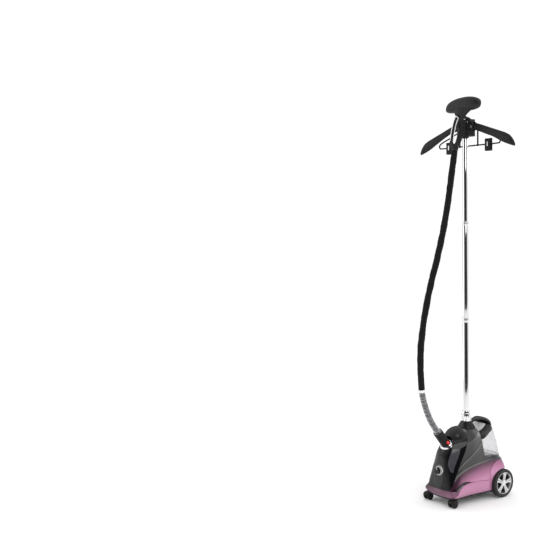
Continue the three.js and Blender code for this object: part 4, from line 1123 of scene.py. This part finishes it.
def block(x0, x1, y0, y1, z0, z1):
    return prism([(x0, y0), (x1, y0), (x1, y1), (x0, y1)], z0, z1)


def make_hood_and_neck():
    in_socket = Matrix.Translation((0, -100, 208)) @ Matrix.Rotation(0.705, 4, "X")
    below, behind = block(-90, 90, -160, 60, 130, 226.4), block(-90, 90, -28, 60, 130, 330)
    part("hood_dome", ball(*HOOD_OUTER, 96, 60), "dome_black", "base", ["dome_hood"], bevel=0.4, angle=30,
         cuts=[ball(*HOOD_INNER, 64, 40), below, behind, moved(rod(27.5, -60, 90, 64), in_socket),
               rod(35, 200, 330, 64)])
    part("neck_facets", lathe([(14, 266.4), (34.2, 266.4), (34.4, 267.4), (33.6, 268.8), (22, 287.2),
                               (21, 290.6), (20, 291.8), (14, 291.8)], 10), "neck_black", "base",
         ["neck_cone"], socketed(0, 0, 0, 0, 0, 0.08), bevel=0.7, angle=20)


# The profile of a pole collar, counted from the radius and the top of its tube.
COLLAR = [(-0.2, -16), (1.4, -16), (1.9, -15.2), (2, -11.4), (1.6, -11), (1.6, -10.4), (2, -10), (2, -1.8),
          (1.5, -0.6), (0.6, 0), (-0.2, 0)]


def make_nut_and_pole():
    nut = ribbed([(12.9, 292.4, 0), (18.6, 292.4, 0.3), (20, 293.6, 1), (20, 300, 1), (19.9, 308, 1),
                  (19.3, 311.4, 0.8), (18.6, 313.4, 0), (18.5, 314.2, 0), (17.7, 320, 0), (16.4, 327.2, 0),
                  (15.3, 330.6, 0), (14.4, 332, 0), (12.9, 332, 0)], 16, 1.2)
    slots = []
    for k in range(4):
        slot = prism(rounded(-2.1, 2.1, -6.2, 6.2, 0.8, 3), 17, 22)
        turned = Matrix.Rotation(-0.62 + k * math.pi / 2, 4, "Z") @ Matrix.Translation((0, 0, 319))
        slots.append(moved(slot, turned @ TO_X @ Matrix.Translation((0, 0, -3.4))))
    part("nut_shell", nut, "chrome", "lock_nut", ["lock_nut"], cuts=slots, bevel=0.15)
    part("nut_sleeve", lathe([(12.9, 293), (14.9, 293), (14.3, 328), (12.9, 328)], 48), "matte_black",
         "lock_nut")
    for name, r, bore, low, high, body in (("pole_lower", 12.5, 11.4, 200, 686, "base"),
                                           ("pole_middle", 11, 10, 640, 1052, "pole_middle"),
                                           ("pole_top", 9.7, 8.6, 1006, 1412, "pole_top")):
        part(f"{name}_drawn", lathe([(bore, low), (r - 0.3, low), (r, low + 0.4), (r, high - 0.8),
                                     (r - 0.4, high), (bore, high)], 96), "chrome", body, [f"{name}_tube"])
        if high < 1400:
            part(f"{name}_collar", lathe([(r + wide, high + z) for wide, z in COLLAR], 96),
                 "silver", body, slot="chrome")


# ---------------------------------------------------------------- tank, lid and seat
# (z, half width, front y, hip y, rear y)
TANK_PLANS = [(150, 74.5, 18.6, 106, 133), (163, 74, 18, 104, 131), (200, 72, 15.5, 96, 124),
              (228, 69.5, 14.5, 86, 116), (250, 66, 22, 80, 110), (262, 62.5, 24, 78, 107),
              (272, 58, 27, 74, 102)]
TANK_AROUND, TANK_LEVELS = 96, 24


def tank_rings(inset=0.0, top=None):
    """Rings of the tank and its lid, inset by a distance and, for a tool, carried on to a height."""
    rows = []
    for z, half, front, hip, rear in TANK_PLANS:
        right = [(half * 0.9, front), (half, front + 6), (half, (front + hip) / 2), (half * 0.93, hip),
                 (half * 0.55, rear - 5)]
        rows.append(level_points(z, front, right, rear))
    columns = [catmull(column, TANK_LEVELS) for column in zip(*rows)]
    rings = [inset_ring(catmull([c[k] for c in columns], TANK_AROUND, closed=True, power=0.5), inset)
             for k in range(TANK_LEVELS + 1)]
    if top is not None:
        rings.append([vec(p[0], p[1], top) for p in rings[-1]])
    return rings


def tank_zone_cuts(margin):
    """What stands in front of the tank: the slope of the body, the tower under the neck and the spine."""
    front = [(15 - margin, 156 - margin), (12 - margin, 205), (11 - margin, 228), (20 - margin, 257),
             (22 - margin, 330), (-60, 330), (-60, 120), (15 - margin, 120)]
    tower = [(0, 170 + margin), (10 - margin, 184), (40 - margin, 246.5 + margin), (40 - margin, 330),
             (0, 330)]
    return [across_x(front, -130, 130), across_x(tower, -27 + margin, 27 - margin),
            block(-22 + margin, 22 - margin, -5, 20.5 - margin, 100, 245)]


def under_seat(offset):
    """Everything below the sloping seat of the tank."""
    return across_x([(-10, 120), (-10, 165.9 + offset), (15, 162.4 + offset), (150, 143.4 + offset),
                     (150, 120)], -100, 100)


def past_lid(offset, far):
    """Everything between the sloping joint of tank and lid and a height."""
    joint = [(-10, 218 + offset), (11, 228 + offset), (96, 269.5 + offset), (150, 296 + offset)]
    return across_x([(-10, far), *joint, (150, far)], -100, 100)


def make_tank():
    hollow = build("hollow", loft(tank_rings(2.2, 285)), "clear")
    carved(hollow, under_seat(2.5), block(-25.2, 25.2, -2, 23.7, 140, 290), *tank_zone_cuts(-2.5))
    spine = block(-23, 23, 0, 21.5, 140, 290)
    part("tank_walls", loft(tank_rings()), "clear", "tank", ["water_tank"], bevel=0.5, bevel_angle=40,
         angle=35, cuts=[under_seat(0), spine, past_lid(-0.3, 330), *tank_zone_cuts(-0.3), hollow,
                         rod_at(8.4, 120, 180, -30, 88)])
    seat_tilt = math.atan2(19, 135)
    part("valve_cap", lathe([(0, -3.5), (6.8, -3.5), (7, -3.2), (7, -0.4), (8, 0.1), (8, 4.4), (7.4, 5.4),
                             (5.2, 6.6), (2, 7), (0, 7)], 48), "white", "tank", ["tank_valve"],
         socketed(-30, 88, 152.6, -seat_tilt))
    above_foot = across_x([(-10, 330), (-10, 174.4), (20, 170.4), (70, 164.6), (110, 158.4), (150, 151.4),
                           (150, 330)], -100, 100)
    part("tank_foot", loft(tank_rings(-0.5)), "smoke", "tank", bevel=0.3, bevel_angle=40, angle=35,
         cuts=[under_seat(0), above_foot, spine, *tank_zone_cuts(-0.3), loft(tank_rings(1.4, 285))])


def rod_at(r, low, high, x, y):
    return moved(rod(r, low, high, 40), Matrix.Translation((x, y, 0)))


def make_lid():
    finger_gap = across_x([(-20, 240), (14, 244), (34, 251), (56, 258), (70, 266), (76, 276), (76, 330),
                           (-20, 330)], -100, 100)
    trough = across_x([(-5, 222), (11, 232), (47, 249), (66, 262), (72, 274), (-5, 274)], -30, 30)
    part("lid_shell", loft(tank_rings(0.2)), "lid_black", "tank_lid", ["tank_lid"], bevel=1.4, segments=3,
         angle=35, cuts=[past_lid(0, 100), finger_gap, trough, rod_at(36, 258, 300, 0, 0),
                         *tank_zone_cuts(-0.3)])
    spine = [(26.5, 285.4, 6, 2.2), (30, 287, 9.4, 4.0), (40, 290.4, 11.5, 4.4), (52, 292.2, 15, 4.8),
             (66, 292.6, 21, 5.2), (79, 291, 29, 6.2), (91, 286.6, 37, 7.4), (100, 279.6, 43, 8.4),
             (104.6, 271.4, 45, 8.6), (105.6, 263, 44, 8.2), (104, 256.4, 41, 7)]
    knots = catmull([vec(*row) for row in spine], 64)
    rings = []
    for i, (y, z, wide, thick) in enumerate(knots):
        t = knots[min(i + 1, 64)][:2] - knots[max(i - 1, 0)][:2]
        t /= np.linalg.norm(t)
        ring = []
        for a in turns(64):
            u = signed_power(math.cos(a), 0.7) * wide
            v = signed_power(math.sin(a), 0.8) * thick
            v -= 0.13 * wide * (u / wide) ** 4 * (wide / 46)
            ring.append((u, y - t[1] * v - 13 * (u / 46) ** 2 * min(1, i / 50), z + t[0] * v))
        rings.append(ring)
    part("handle_arch", loft(rings), "lid_black", "tank_lid", ["carry_handle"])
    part("lid_insert", across_x([(14, 235), (47, 249.4), (66, 262.4), (74, 272), (74, 275), (65, 264.6),
                                 (47, 251.4), (14, 237)], -29.4, 29.4), "pearl", "tank_lid", bevel=0.4,
         cuts=[rod_at(36.6, 200, 300, 0, 0), *tank_zone_cuts(-0.6)])


def make_seat_and_tower():
    plate = across_x([(17.5, 156.3), (17.5, 161.7), (150, 142.7), (150, 137.3)], -100, 100)
    part("seat_ledge", loft([inset_ring(row, 0.5) for row in HOUSING if 112 < row[0][2] < 196]), "smoke",
         "base", ["tank_seat"], within=plate, cuts=[*tank_zone_cuts(-0.3), rod_at(9, 120, 175, -30, 88)],
         bevel=0.6, bevel_angle=40, angle=35)
    part("tower", across_x([(0.5, 172), (10, 184), (36, 240), (38.5, 248), (36, 256), (28, 262),
                            (16, 265.4), (0.5, 265.8)], -24.5, 24.5), "satin_black", "base", bevel=3.5,
         cuts=[rod_at(15.4, 160, 280, 0, 0)], segments=4)
    wall = []
    for y, z in catmull([vec(*p) for p in TANK_FRONT[:4]], 24):
        w = half_width(y, z) - 0.7
        wall.append([(x, y, z) for x in np.linspace(-w, w, 21)])
    part("tank_wall", sheet_body(wall, [[(x, y - 2.3, z) for x, y, z in row] for row in wall]),
         "satin_black", "base", cuts=[rod_at(15.4, 120, 300, 0, 0)], bevel=0.3)


# ---------------------------------------------------------------- wheels and casters
def make_wheel(side, s):
    frame_at = socketed(s * 84.5, *WHEEL_YZ, 0, s * math.pi / 2, 0)
    body = f"wheel_{side}"
    profile = [(41.1, 11.4), (42.4, 12.6), (45, 13), (49.4, 12.9), (51.6, 12.2), (53, 10.6), (53.5, 8.6),
               (53.5, 5.2), (52.7, 4.9), (52.7, 3.7), (53.5, 3.4)]
    part(f"tyre_ring_{side}", lathe(both_ends(profile), 120), "rubber", body, [f"tyre_{side}"], frame_at,
         angle=28)
    barrel = lathe([(36.6, 2), (38.2, 6.8), (38.8, 10.6), (39.6, 12.2), (40.8, 12.0), (41.2, 10.8),
                    (41.2, -11), (37, -11)], 120)
    part(f"rim_barrel_{side}", barrel, "silver", body, [f"rim_{side}"], frame_at, angle=40)
    spokes = []
    for k in range(5):
        for lean in (-1, 1):
            rows = []
            for r, off, wide, top in ((5, 2.7, 2.3, 10.6), (12, 3.0, 2.1, 10.9), (24, 3.6, 2.4, 11.2),
                                      (34, 4.4, 3.0, 11.2), (39.2, 5.4, 4.2, 10.8)):
                c = lean * off
                rows.append([(c - wide, r, 3.2), (c + wide, r, 3.2), (c + wide, r, top - 1.1),
                             (c + wide * 0.55, r, top), (c - wide * 0.55, r, top),
                             (c - wide, r, top - 1.1)])
            spokes.append(moved(loft(rows), Matrix.Rotation(2 * math.pi * k / 5 + 0.15, 4, "Z")))
    part(f"rim_spokes_{side}", merged(*spokes), "silver", body, matrix=frame_at, bevel=0.35, angle=28)
    part(f"rim_hub_{side}", lathe([(0, 2), (10.4, 2), (10.4, 10.2), (9.6, 11.4), (7.4, 11.9), (7.0, 11.4),
                                   (6.6, 11.9), (4, 12.9), (0, 13.1)], 64), "silver", body, matrix=frame_at,
         bevel=0.15)
    part(f"rim_back_{side}", lathe([(4.4, -2.4), (37.6, -2.4), (37.9, -1.4), (37.2, 0.2), (22, 0.9),
                                    (20, 0.4), (4.4, 0.4)], 96), "matte_black", body, matrix=frame_at)


def make_caster(side, s):
    frame_at = socketed(s * CASTER_X, CASTER_Y, 0)
    swivel = f"caster_swivel_{side}"
    web = across_x([(5, 28.4), (-7, 28.4), (-16, 25.6), (-21.5, 18), (-20, 11.4), (-13, 7.6), (-7, 10),
                    (-1, 18.5), (5, 22)], -4, 4)
    part(f"fork_web_{side}", web, "matte_black", swivel, [f"caster_fork_{side}"], frame_at, bevel=1.0,
         segments=3)
    part(f"fork_plate_{side}", lathe([(0, 26.4), (7.6, 26.4), (8.4, 27), (8.4, 28.6), (7.8, 29.2),
                                      (3.6, 29.2), (3.4, 30), (3.4, 46), (0, 46)], 48), "matte_black",
         swivel, matrix=frame_at, bevel=0.15)
    hood = []
    for x, r in ((-13.8, 14.6), (-13, 15.8), (-5, 16.6), (0, 16.8), (5, 16.6), (13, 15.8), (13.8, 14.6)):
        angles = [math.radians(a) for a in range(28, 165, 8)]
        hood.append([(x, -13 + (r + 0.6) * math.cos(a), 14 + (r + 0.4) * math.sin(a) * 0.93) for a in angles])
    under = [[(x, y * 0.94 - 13 * 0.06, 14 + (z - 14) * 0.94) for x, y, z in row] for row in hood]
    part(f"fork_hood_{side}", sheet_body(hood, under), "matte_black", swivel, matrix=frame_at, bevel=0.3)
    axis = socketed(s * CASTER_X, CASTER_WHEEL_Y, CASTER_R, 0, math.pi / 2, 0)
    discs = []
    for f in (-1, 1):
        rows = [(2.6, 5.0), (11.4, 5.0), (13, 5.6), (13.9, 7.0), (14, 8.6), (14, 11.2), (13.6, 12.8),
                (12.4, 14), (10.8, 14.3), (10.2, 13.5), (6.4, 13.1), (5.6, 14.2), (2.2, 14.4), (0, 14.4)]
        discs.append(lathe([(0, f * 4.4), (2.6, f * 4.4), *[(r, f * z) for r, z in rows]], 64))
    part(f"caster_discs_{side}", merged(*discs, rod(2.7, -5, 5, 32)), "matte_black",
         f"caster_wheels_{side}", [f"caster_wheels_{side}"], axis, bevel=0.2, angle=28)


def make_tray_edge():
    edge = HOUSING[0]
    rows = [(2.6, 29.6), (1.2, 29.2), (0.5, 29.9), (0.2, 31.2), (0.2, 33.5), (0.6, 33.9), (5, 33.9),
            (5, 29.6)]
    rings = [[vec(p[0], p[1], z) for p in inset_ring(edge, inset)] for inset, z in rows]
    arches = [wheel_well(s, 69.5, 56.4, 60, 72) for s in (1, -1)]
    part("tray_edge", loft(rings, closed=True), "matte_black", "base", cuts=arches)
    part("inlet_gland", ribbed([(3.7, -8, 0), (7.4, -8, 0), (7.4, 3.2, 0), (10.8, 3.3, 0.3), (11, 3.9, 1),
                                (11, 5.4, 1), (10.4, 5.9, 0.2), (7.2, 7.6, 0), (5.8, 12.4, 0), (5.2, 13, 0),
                                (3.7, 13, 0)], 12, 0.6), "matte_black", "base", ["cord_inlet"],
         socketed(0, 147.2, 62, -math.pi / 2), bevel=0.15)


# ---------------------------------------------------------------- hanger, trouser bar and clips
def make_hub():
    rounded_block = prism(rounded(-30, 30, -14, 26, 7, 6), 1368, 1431)
    slot_cuts = [rod(10, 1300, 1412.3, 48), block(3, 25, 3, 15, 1420, 1440)]
    grooves = [block(x - 0.8, x + 0.8, -15, -12.9, 1376, 1424) for x in (-19, 19)]
    part("hub_block", rounded_block, "matte_black", "pole_top", ["hanger_hub"], cuts=[*slot_cuts, *grooves],
         bevel=2.2, segments=3)
    for name, s in SIDES:
        ears = [across_y([(s * 26, 1388), (s * 44, 1388), (s * 49, 1394), (s * 49, 1412), (s * 44, 1418),
                          (s * 26, 1424)], y0, y1) for y0, y1 in ((-12, -8.3), (8.3, 12))]
        part(f"hub_ears_{name}", merged(*ears), "matte_black", "pole_top", bevel=0.8, segments=3)
        pin = lathe(both_ends([(0, -13.1), (3.6, -13.1), (4.4, -12.5), (4.4, -11.8), (3, -11.8)]), 40)
        part(f"hub_pin_{name}", pin, "steel", "pole_top", matrix=socketed(s * ARM_X, 0, ARM_Z, math.pi / 2),
             bevel=0.15, cuts=[block(-0.5, 0.5, -3, 3, 12.6, 14), block(-0.5, 0.5, -3, 3, -14, -12.6)])
    part("hub_screw", lathe([(0, 0), (3.4, 0), (3.4, 1.2), (2.8, 2.0), (0, 2.2)], 40), "steel", "pole_top",
         matrix=socketed(24, -13.8, 1420, math.pi / 2), cuts=[block(-0.45, 0.45, -4, 4, 1.5, 3)], bevel=0.1)
    part("hub_collar", lathe([(10.1, 1362), (13, 1362), (13.6, 1363), (13.6, 1367.6), (14.4, 1369),
                              (10.1, 1369)], 64), "matte_black", "pole_top", bevel=0.3)


def make_arm(side, s):
    """The limb is a channel with a rounded back and fine ribs over it near the end."""
    rings = []
    steps = 110
    keys = [(0.06, 7, 9.6), (0.25, 7.6, 10.4), (0.45, 8.6, 11.8), (0.65, 9.6, 14), (0.8, 10.4, 16),
            (0.9, 10, 15.4), (0.97, 8.8, 12.6), (1.03, 7, 8.4), (1.065, 4.8, 4.6), (1.08, 2.4, 2)]
    for k in range(steps + 1):
        t = 0.06 + (1.08 - 0.06) * (1 - (1 - k / steps) ** 1.25)
        depth = np.interp(t, [q[0] for q in keys], [q[1] for q in keys])
        tall = np.interp(t, [q[0] for q in keys], [q[2] for q in keys])
        x = ARM_X + (ARM_TIP_X - 12 - ARM_X) * t
        z = ARM_Z + 6 - (ARM_Z - 1330) * t ** 1.12 - (0.85 * (16 - tall) if t > 0.8 else 0)
        ring = []
        for a in turns(40):
            cut_in = 1 - 0.22 * max(0.0, math.cos(a) ** 2 - 0.35) if t < 0.95 else 1.0
            rise = signed_power(math.sin(a), 0.86) * tall
            wide = signed_power(math.cos(a), 0.8) * depth * cut_in
            rib = 0.45 * (0.5 + 0.5 * math.cos(2 * math.pi * x / 5.2))
            if not (0.3 < t < 0.98 and math.sin(a) > 0.25):
                rib = 0.0
            ring.append((s * (x + rise * 0.42), wide, z + rise - rib))
        rings.append(ring)
    limb = loft(rings)
    at_pin = Matrix.Translation((s * ARM_X, 0, ARM_Z)) @ TO_Y
    root = moved(rod(17.6, -30, 30, 48), at_pin)
    part(f"arm_limb_{side}", limb, "matte_black", f"arm_{side}", [f"hanger_arm_{side}"], cuts=[root],
         angle=40)
    half_turn = np.radians(range(95, 266, 10))
    knuckle = [(s * (ARM_X + 7.5 * math.cos(a)), ARM_Z + 7.5 * math.sin(a)) for a in half_turn]
    tongue = across_y([*knuckle, (s * 60, 1388.6), (s * 60, 1407)], -7.5, 7.5)
    hole = moved(rod(3.3, -30, 30, 32), at_pin)
    part(f"arm_tongue_{side}", tongue, "matte_black", f"arm_{side}", cuts=[hole], bevel=0.7)


def make_trouser_bar():
    right = [(33.5, 1394.5), (50, 1388), (90, 1372), (134, 1356), (148, 1346), (146, 1336.5), (134, BAR_Z)]
    path = [(x, BAR_Y, z) for x, z in [*right, (58, BAR_Z), (-58, BAR_Z), *[(-x, z) for x, z in right[::-1]]]]
    part("bar_wire", tube(path, 2.8, 20, 260), "bar_black", "pole_top", ["trouser_bar"])
    for name, s in SIDES:
        part(f"bar_strut_{name}", rod(3.1, BAR_Z, 1388.6, 24), "bar_black", "pole_top",
             matrix=socketed(s * STRUT_X, BAR_Y, 0))
        part(f"bar_ferrule_{name}", lathe(both_ends([(2.1, -3.2), (3.7, -3.2), (4, -2.6)]), 32), "bar_black",
             "pole_top", matrix=socketed(s * STRUT_X, BAR_Y, BAR_Z, 0, math.pi / 2, 0), bevel=0.2)


def make_clip(side, s):
    frame_at = socketed(s * CLIP_X, BAR_Y, BAR_Z)
    teeth = lambda sign: [(sign * (0.9 if k % 2 else 1.9), -24.6 + 0.9 * k) for k in range(8)]
    for name, sign, body, reach in (("back", 1, f"clip_{side}", 21), ("jaw", -1, f"clip_jaw_{side}", 20)):
        outer, inner = (7.2, 3) if sign > 0 else (8.2, 4.4)
        side_line = [(sign * inner, -17), (sign * inner, reach), (sign * (inner + 1.4), reach + 0.8),
                     (sign * outer, reach - 1.2), (sign * (outer - 0.7), 4), (sign * outer, -8),
                     (sign * (outer - 0.4), -24.2), (sign * (outer - 1.4), -25), *teeth(sign)]
        plate = across_x(side_line, -12.4 if sign > 0 else -11.6, 12.4 if sign > 0 else 11.6)
        nicks = [block(x - 0.9, x + 0.9, -12, 12, z - 1.1, z + 1.1)
                 for x in (-12.8, 12.8) for z in (-19, -14, -9, 14, 18)]
        window = across_y(rounded(-3.2, 3.2, -9, 10, 2.6, 4), -12, 12)
        ridges = [block(-9.4, 9.4, sign * outer - 1.0, sign * outer + 1.0, z, z + 1.0) for z in (15.2, 17.4)]
        bore = moved(rod(2.7, -20, 20, 24), TO_X)
        part(f"clip_{name}_{side}", plate, "matte_black", body, [body], frame_at, bevel=0.4,
             cuts=[window, *ridges, *nicks, bore])
        spans = [(-4.5, 4.5)] if sign > 0 else [(-9.8, -5), (5, 9.8)]
        knuckles = merged(*[moved(lathe([(2.5, a), (4.7, a), (5, a + 0.3), (5, b - 0.3), (4.7, b),
                                         (2.5, b)], 36), TO_X) for a, b in spans])
        part(f"clip_{name}_hinge_{side}", knuckles, "matte_black", body, matrix=frame_at)
    leaf = across_y(rounded(-2.4, 2.4, -8, 9, 2, 4), -7.9, -7.2)
    part(f"clip_leaf_{side}", leaf, "silver", f"clip_jaw_{side}", matrix=frame_at, bevel=0.15, slot="steel")
    part(f"clip_spring_{side}",
         tube([(x, 3.9 * math.cos(x * 3.2), 3.9 * math.sin(x * 3.2)) for x in np.linspace(-4.2, 4.2, 60)],
              0.8, 8, 240), "silver", f"clip_{side}", matrix=frame_at, slot="steel")


# ---------------------------------------------------------------- handset
def handset_part(name, shape, nodes=(), look="handset_black", **more):
    part(name, shape, look, "pole_top", nodes, HANDSET, **more)


def make_handset():
    head = []
    for k in range(1, 60):
        t = math.pi * k / 60
        row = []
        for a in turns(96):
            x = signed_power(math.sin(t), 0.72) * signed_power(math.cos(a), 0.72) * 79
            y = signed_power(math.sin(t), 0.72) * signed_power(math.sin(a), 0.72) * 22.4
            z = -signed_power(math.cos(t), 0.72) * 25.5
            row.append((x + 7, min(y, 17.0) if y > 0 else y, 170 + z - 0.0012 * x * x + 0.13 * x))
        head.append(row)
    handset_part("handset_head", loft(head), ["handset_shell"], bevel=0.5, angle=30)
    neck = [(2, 110, 12, 10.8), (1, 122, 17, 13), (0, 131, 24, 15.6), (0, 140, 33, 18), (0, 149, 44, 19.6),
            (0, 160, 52, 19)]
    rows = catmull([vec(*r) for r in neck], 28)
    rings = [[(w * math.cos(a), y + d * math.sin(a), z) for a in turns(64)] for y, z, w, d in rows]
    handset_part("handset_throat", loft(rings))
    grip = [(0, 0, 10), (0, 9, 26), (0, 14, 48), (0, 14, 76), (0, 11, 100), (0, 4, 126), (0, 0, 150)]
    ripple = lambda t: 0.22 * (0.5 + 0.5 * math.cos(t * 260)) * (0.25 < t < 0.62)
    handle = tube(grip, lambda t: 9.7 + 0.5 * math.sin(math.pi * t) + ripple(t), 40, 260)
    handset_part("handset_grip", handle, angle=60)
    guard = [(0, -6, 8), (0, -19, 15), (0, -25, 28), (0, -26.8, 52), (0, -26, 82), (0, -22.4, 106),
             (0, -14, 122), (0, -2, 134)]
    handset_part("handset_guard", tube(guard, lambda t: 5.8 + 0.6 * abs(2 * t - 1) ** 2, 32, 90))
    # White lines along both sides and the front of the guard, and a ring at its top.
    beside = [(3.6, -18.4, 27), (3.9, -21.8, 52), (3.9, -21, 82), (4.2, -17.6, 104), (5.2, -14.4, 113),
              (6.1, -15, 117.6)]
    inner_lines = [tube([(s * x, y, z) for x, y, z in beside], 1.9, 16, 90) for s in (1, -1)]
    outer_line = tube([(0, -30.6, 30), (0, -32.8, 52), (0, -32, 82), (0, -28.3, 106), (0, -22.6, 118.6)],
                      1.4, 16, 90)
    hoop = [(6.3 * math.cos(a), -17.2 + 6.3 * 0.87 * math.sin(a), 117.6 - 6.3 * 0.49 * math.sin(a))
            for a in np.linspace(0, 2 * math.pi, 33)]
    handset_part("guard_trim", merged(*inner_lines, outer_line, tube(hoop, 1.5, 16, 96)), look="white")
    handset_part("handset_stem", lathe([(3.2, 0), (11, 0), (12, 0.8), (12.4, 3), (12.4, 6.6), (11.9, 7),
                                        (11.9, 8.2), (12.4, 8.6), (12.2, 13), (11.4, 16), (9.6, 20),
                                        (8.6, 23), (3.2, 23)], 64))
    hook = across_x([(8, 119), (26, 121), (47.6, 124), (47.6, 115.6), (52.6, 115.6), (54, 125), (48, 130),
                     (28, 131), (8, 138)], -5, 5)
    handset_part("handset_hook", hook, bevel=1.4, segments=3)
    oval_plate = [(66 * math.cos(a), 17 * math.sin(a)) for a in turns(96)]
    plate = moved(prism(oval_plate, 0, 4), Matrix.Translation((0, 21.3, 168)) @ TO_Y)
    holes = []
    for row, count in ((9.5, 7), (0, 11), (-9.5, 7)):
        for k in range(count):
            x = (k - (count - 1) / 2) * 10
            holes.append(moved(rod(1.5, 10, 40, 16),
                               Matrix.Translation((x, 0, 168 + row)) @ Matrix.Rotation(-math.pi / 2, 4, "X")))
    part("sole_plate", plate, "cast", "pole_top", ["steam_plate"], HANDSET, cuts=[merged(*holes)], bevel=0.4)
    part("trigger_key", prism(rounded(-4, 4, -7.6, 3, 1.6, 4), 84.6, 103.4), "handset_black",
         "steam_trigger", ["steam_trigger"], HANDSET, bevel=0.8, segments=3)


# ---------------------------------------------------------------- looks of the inner parts
def dress_inner_parts():
    looks = {"boiler": "cast", "pump": "white", "steam_pipe": "matte_black", "water_pipe": "white",
             "control_switch": "matte_black", "axle": "steel", "pole_socket": "matte_black",
             "drain_plug": "matte_black", "base_tray": "matte_black"}
    for name, look in looks.items():
        inner = bpy.data.objects[name]
        inner.data.materials.clear()
        inner.data.materials.append(MATERIALS[look])


# ---------------------------------------------------------------- run
make_camera()
make_studio()
make_hose()
make_housing()
make_bib()
make_dial()
make_connector()
make_hood_and_neck()
make_nut_and_pole()
make_tank()
make_lid()
make_seat_and_tower()
make_tray_edge()
make_hub()
make_trouser_bar()
for side, s in SIDES:
    make_wheel(side, s)
    make_caster(side, s)
    make_arm(side, s)
    make_clip(side, s)
make_handset()
dress_inner_parts()
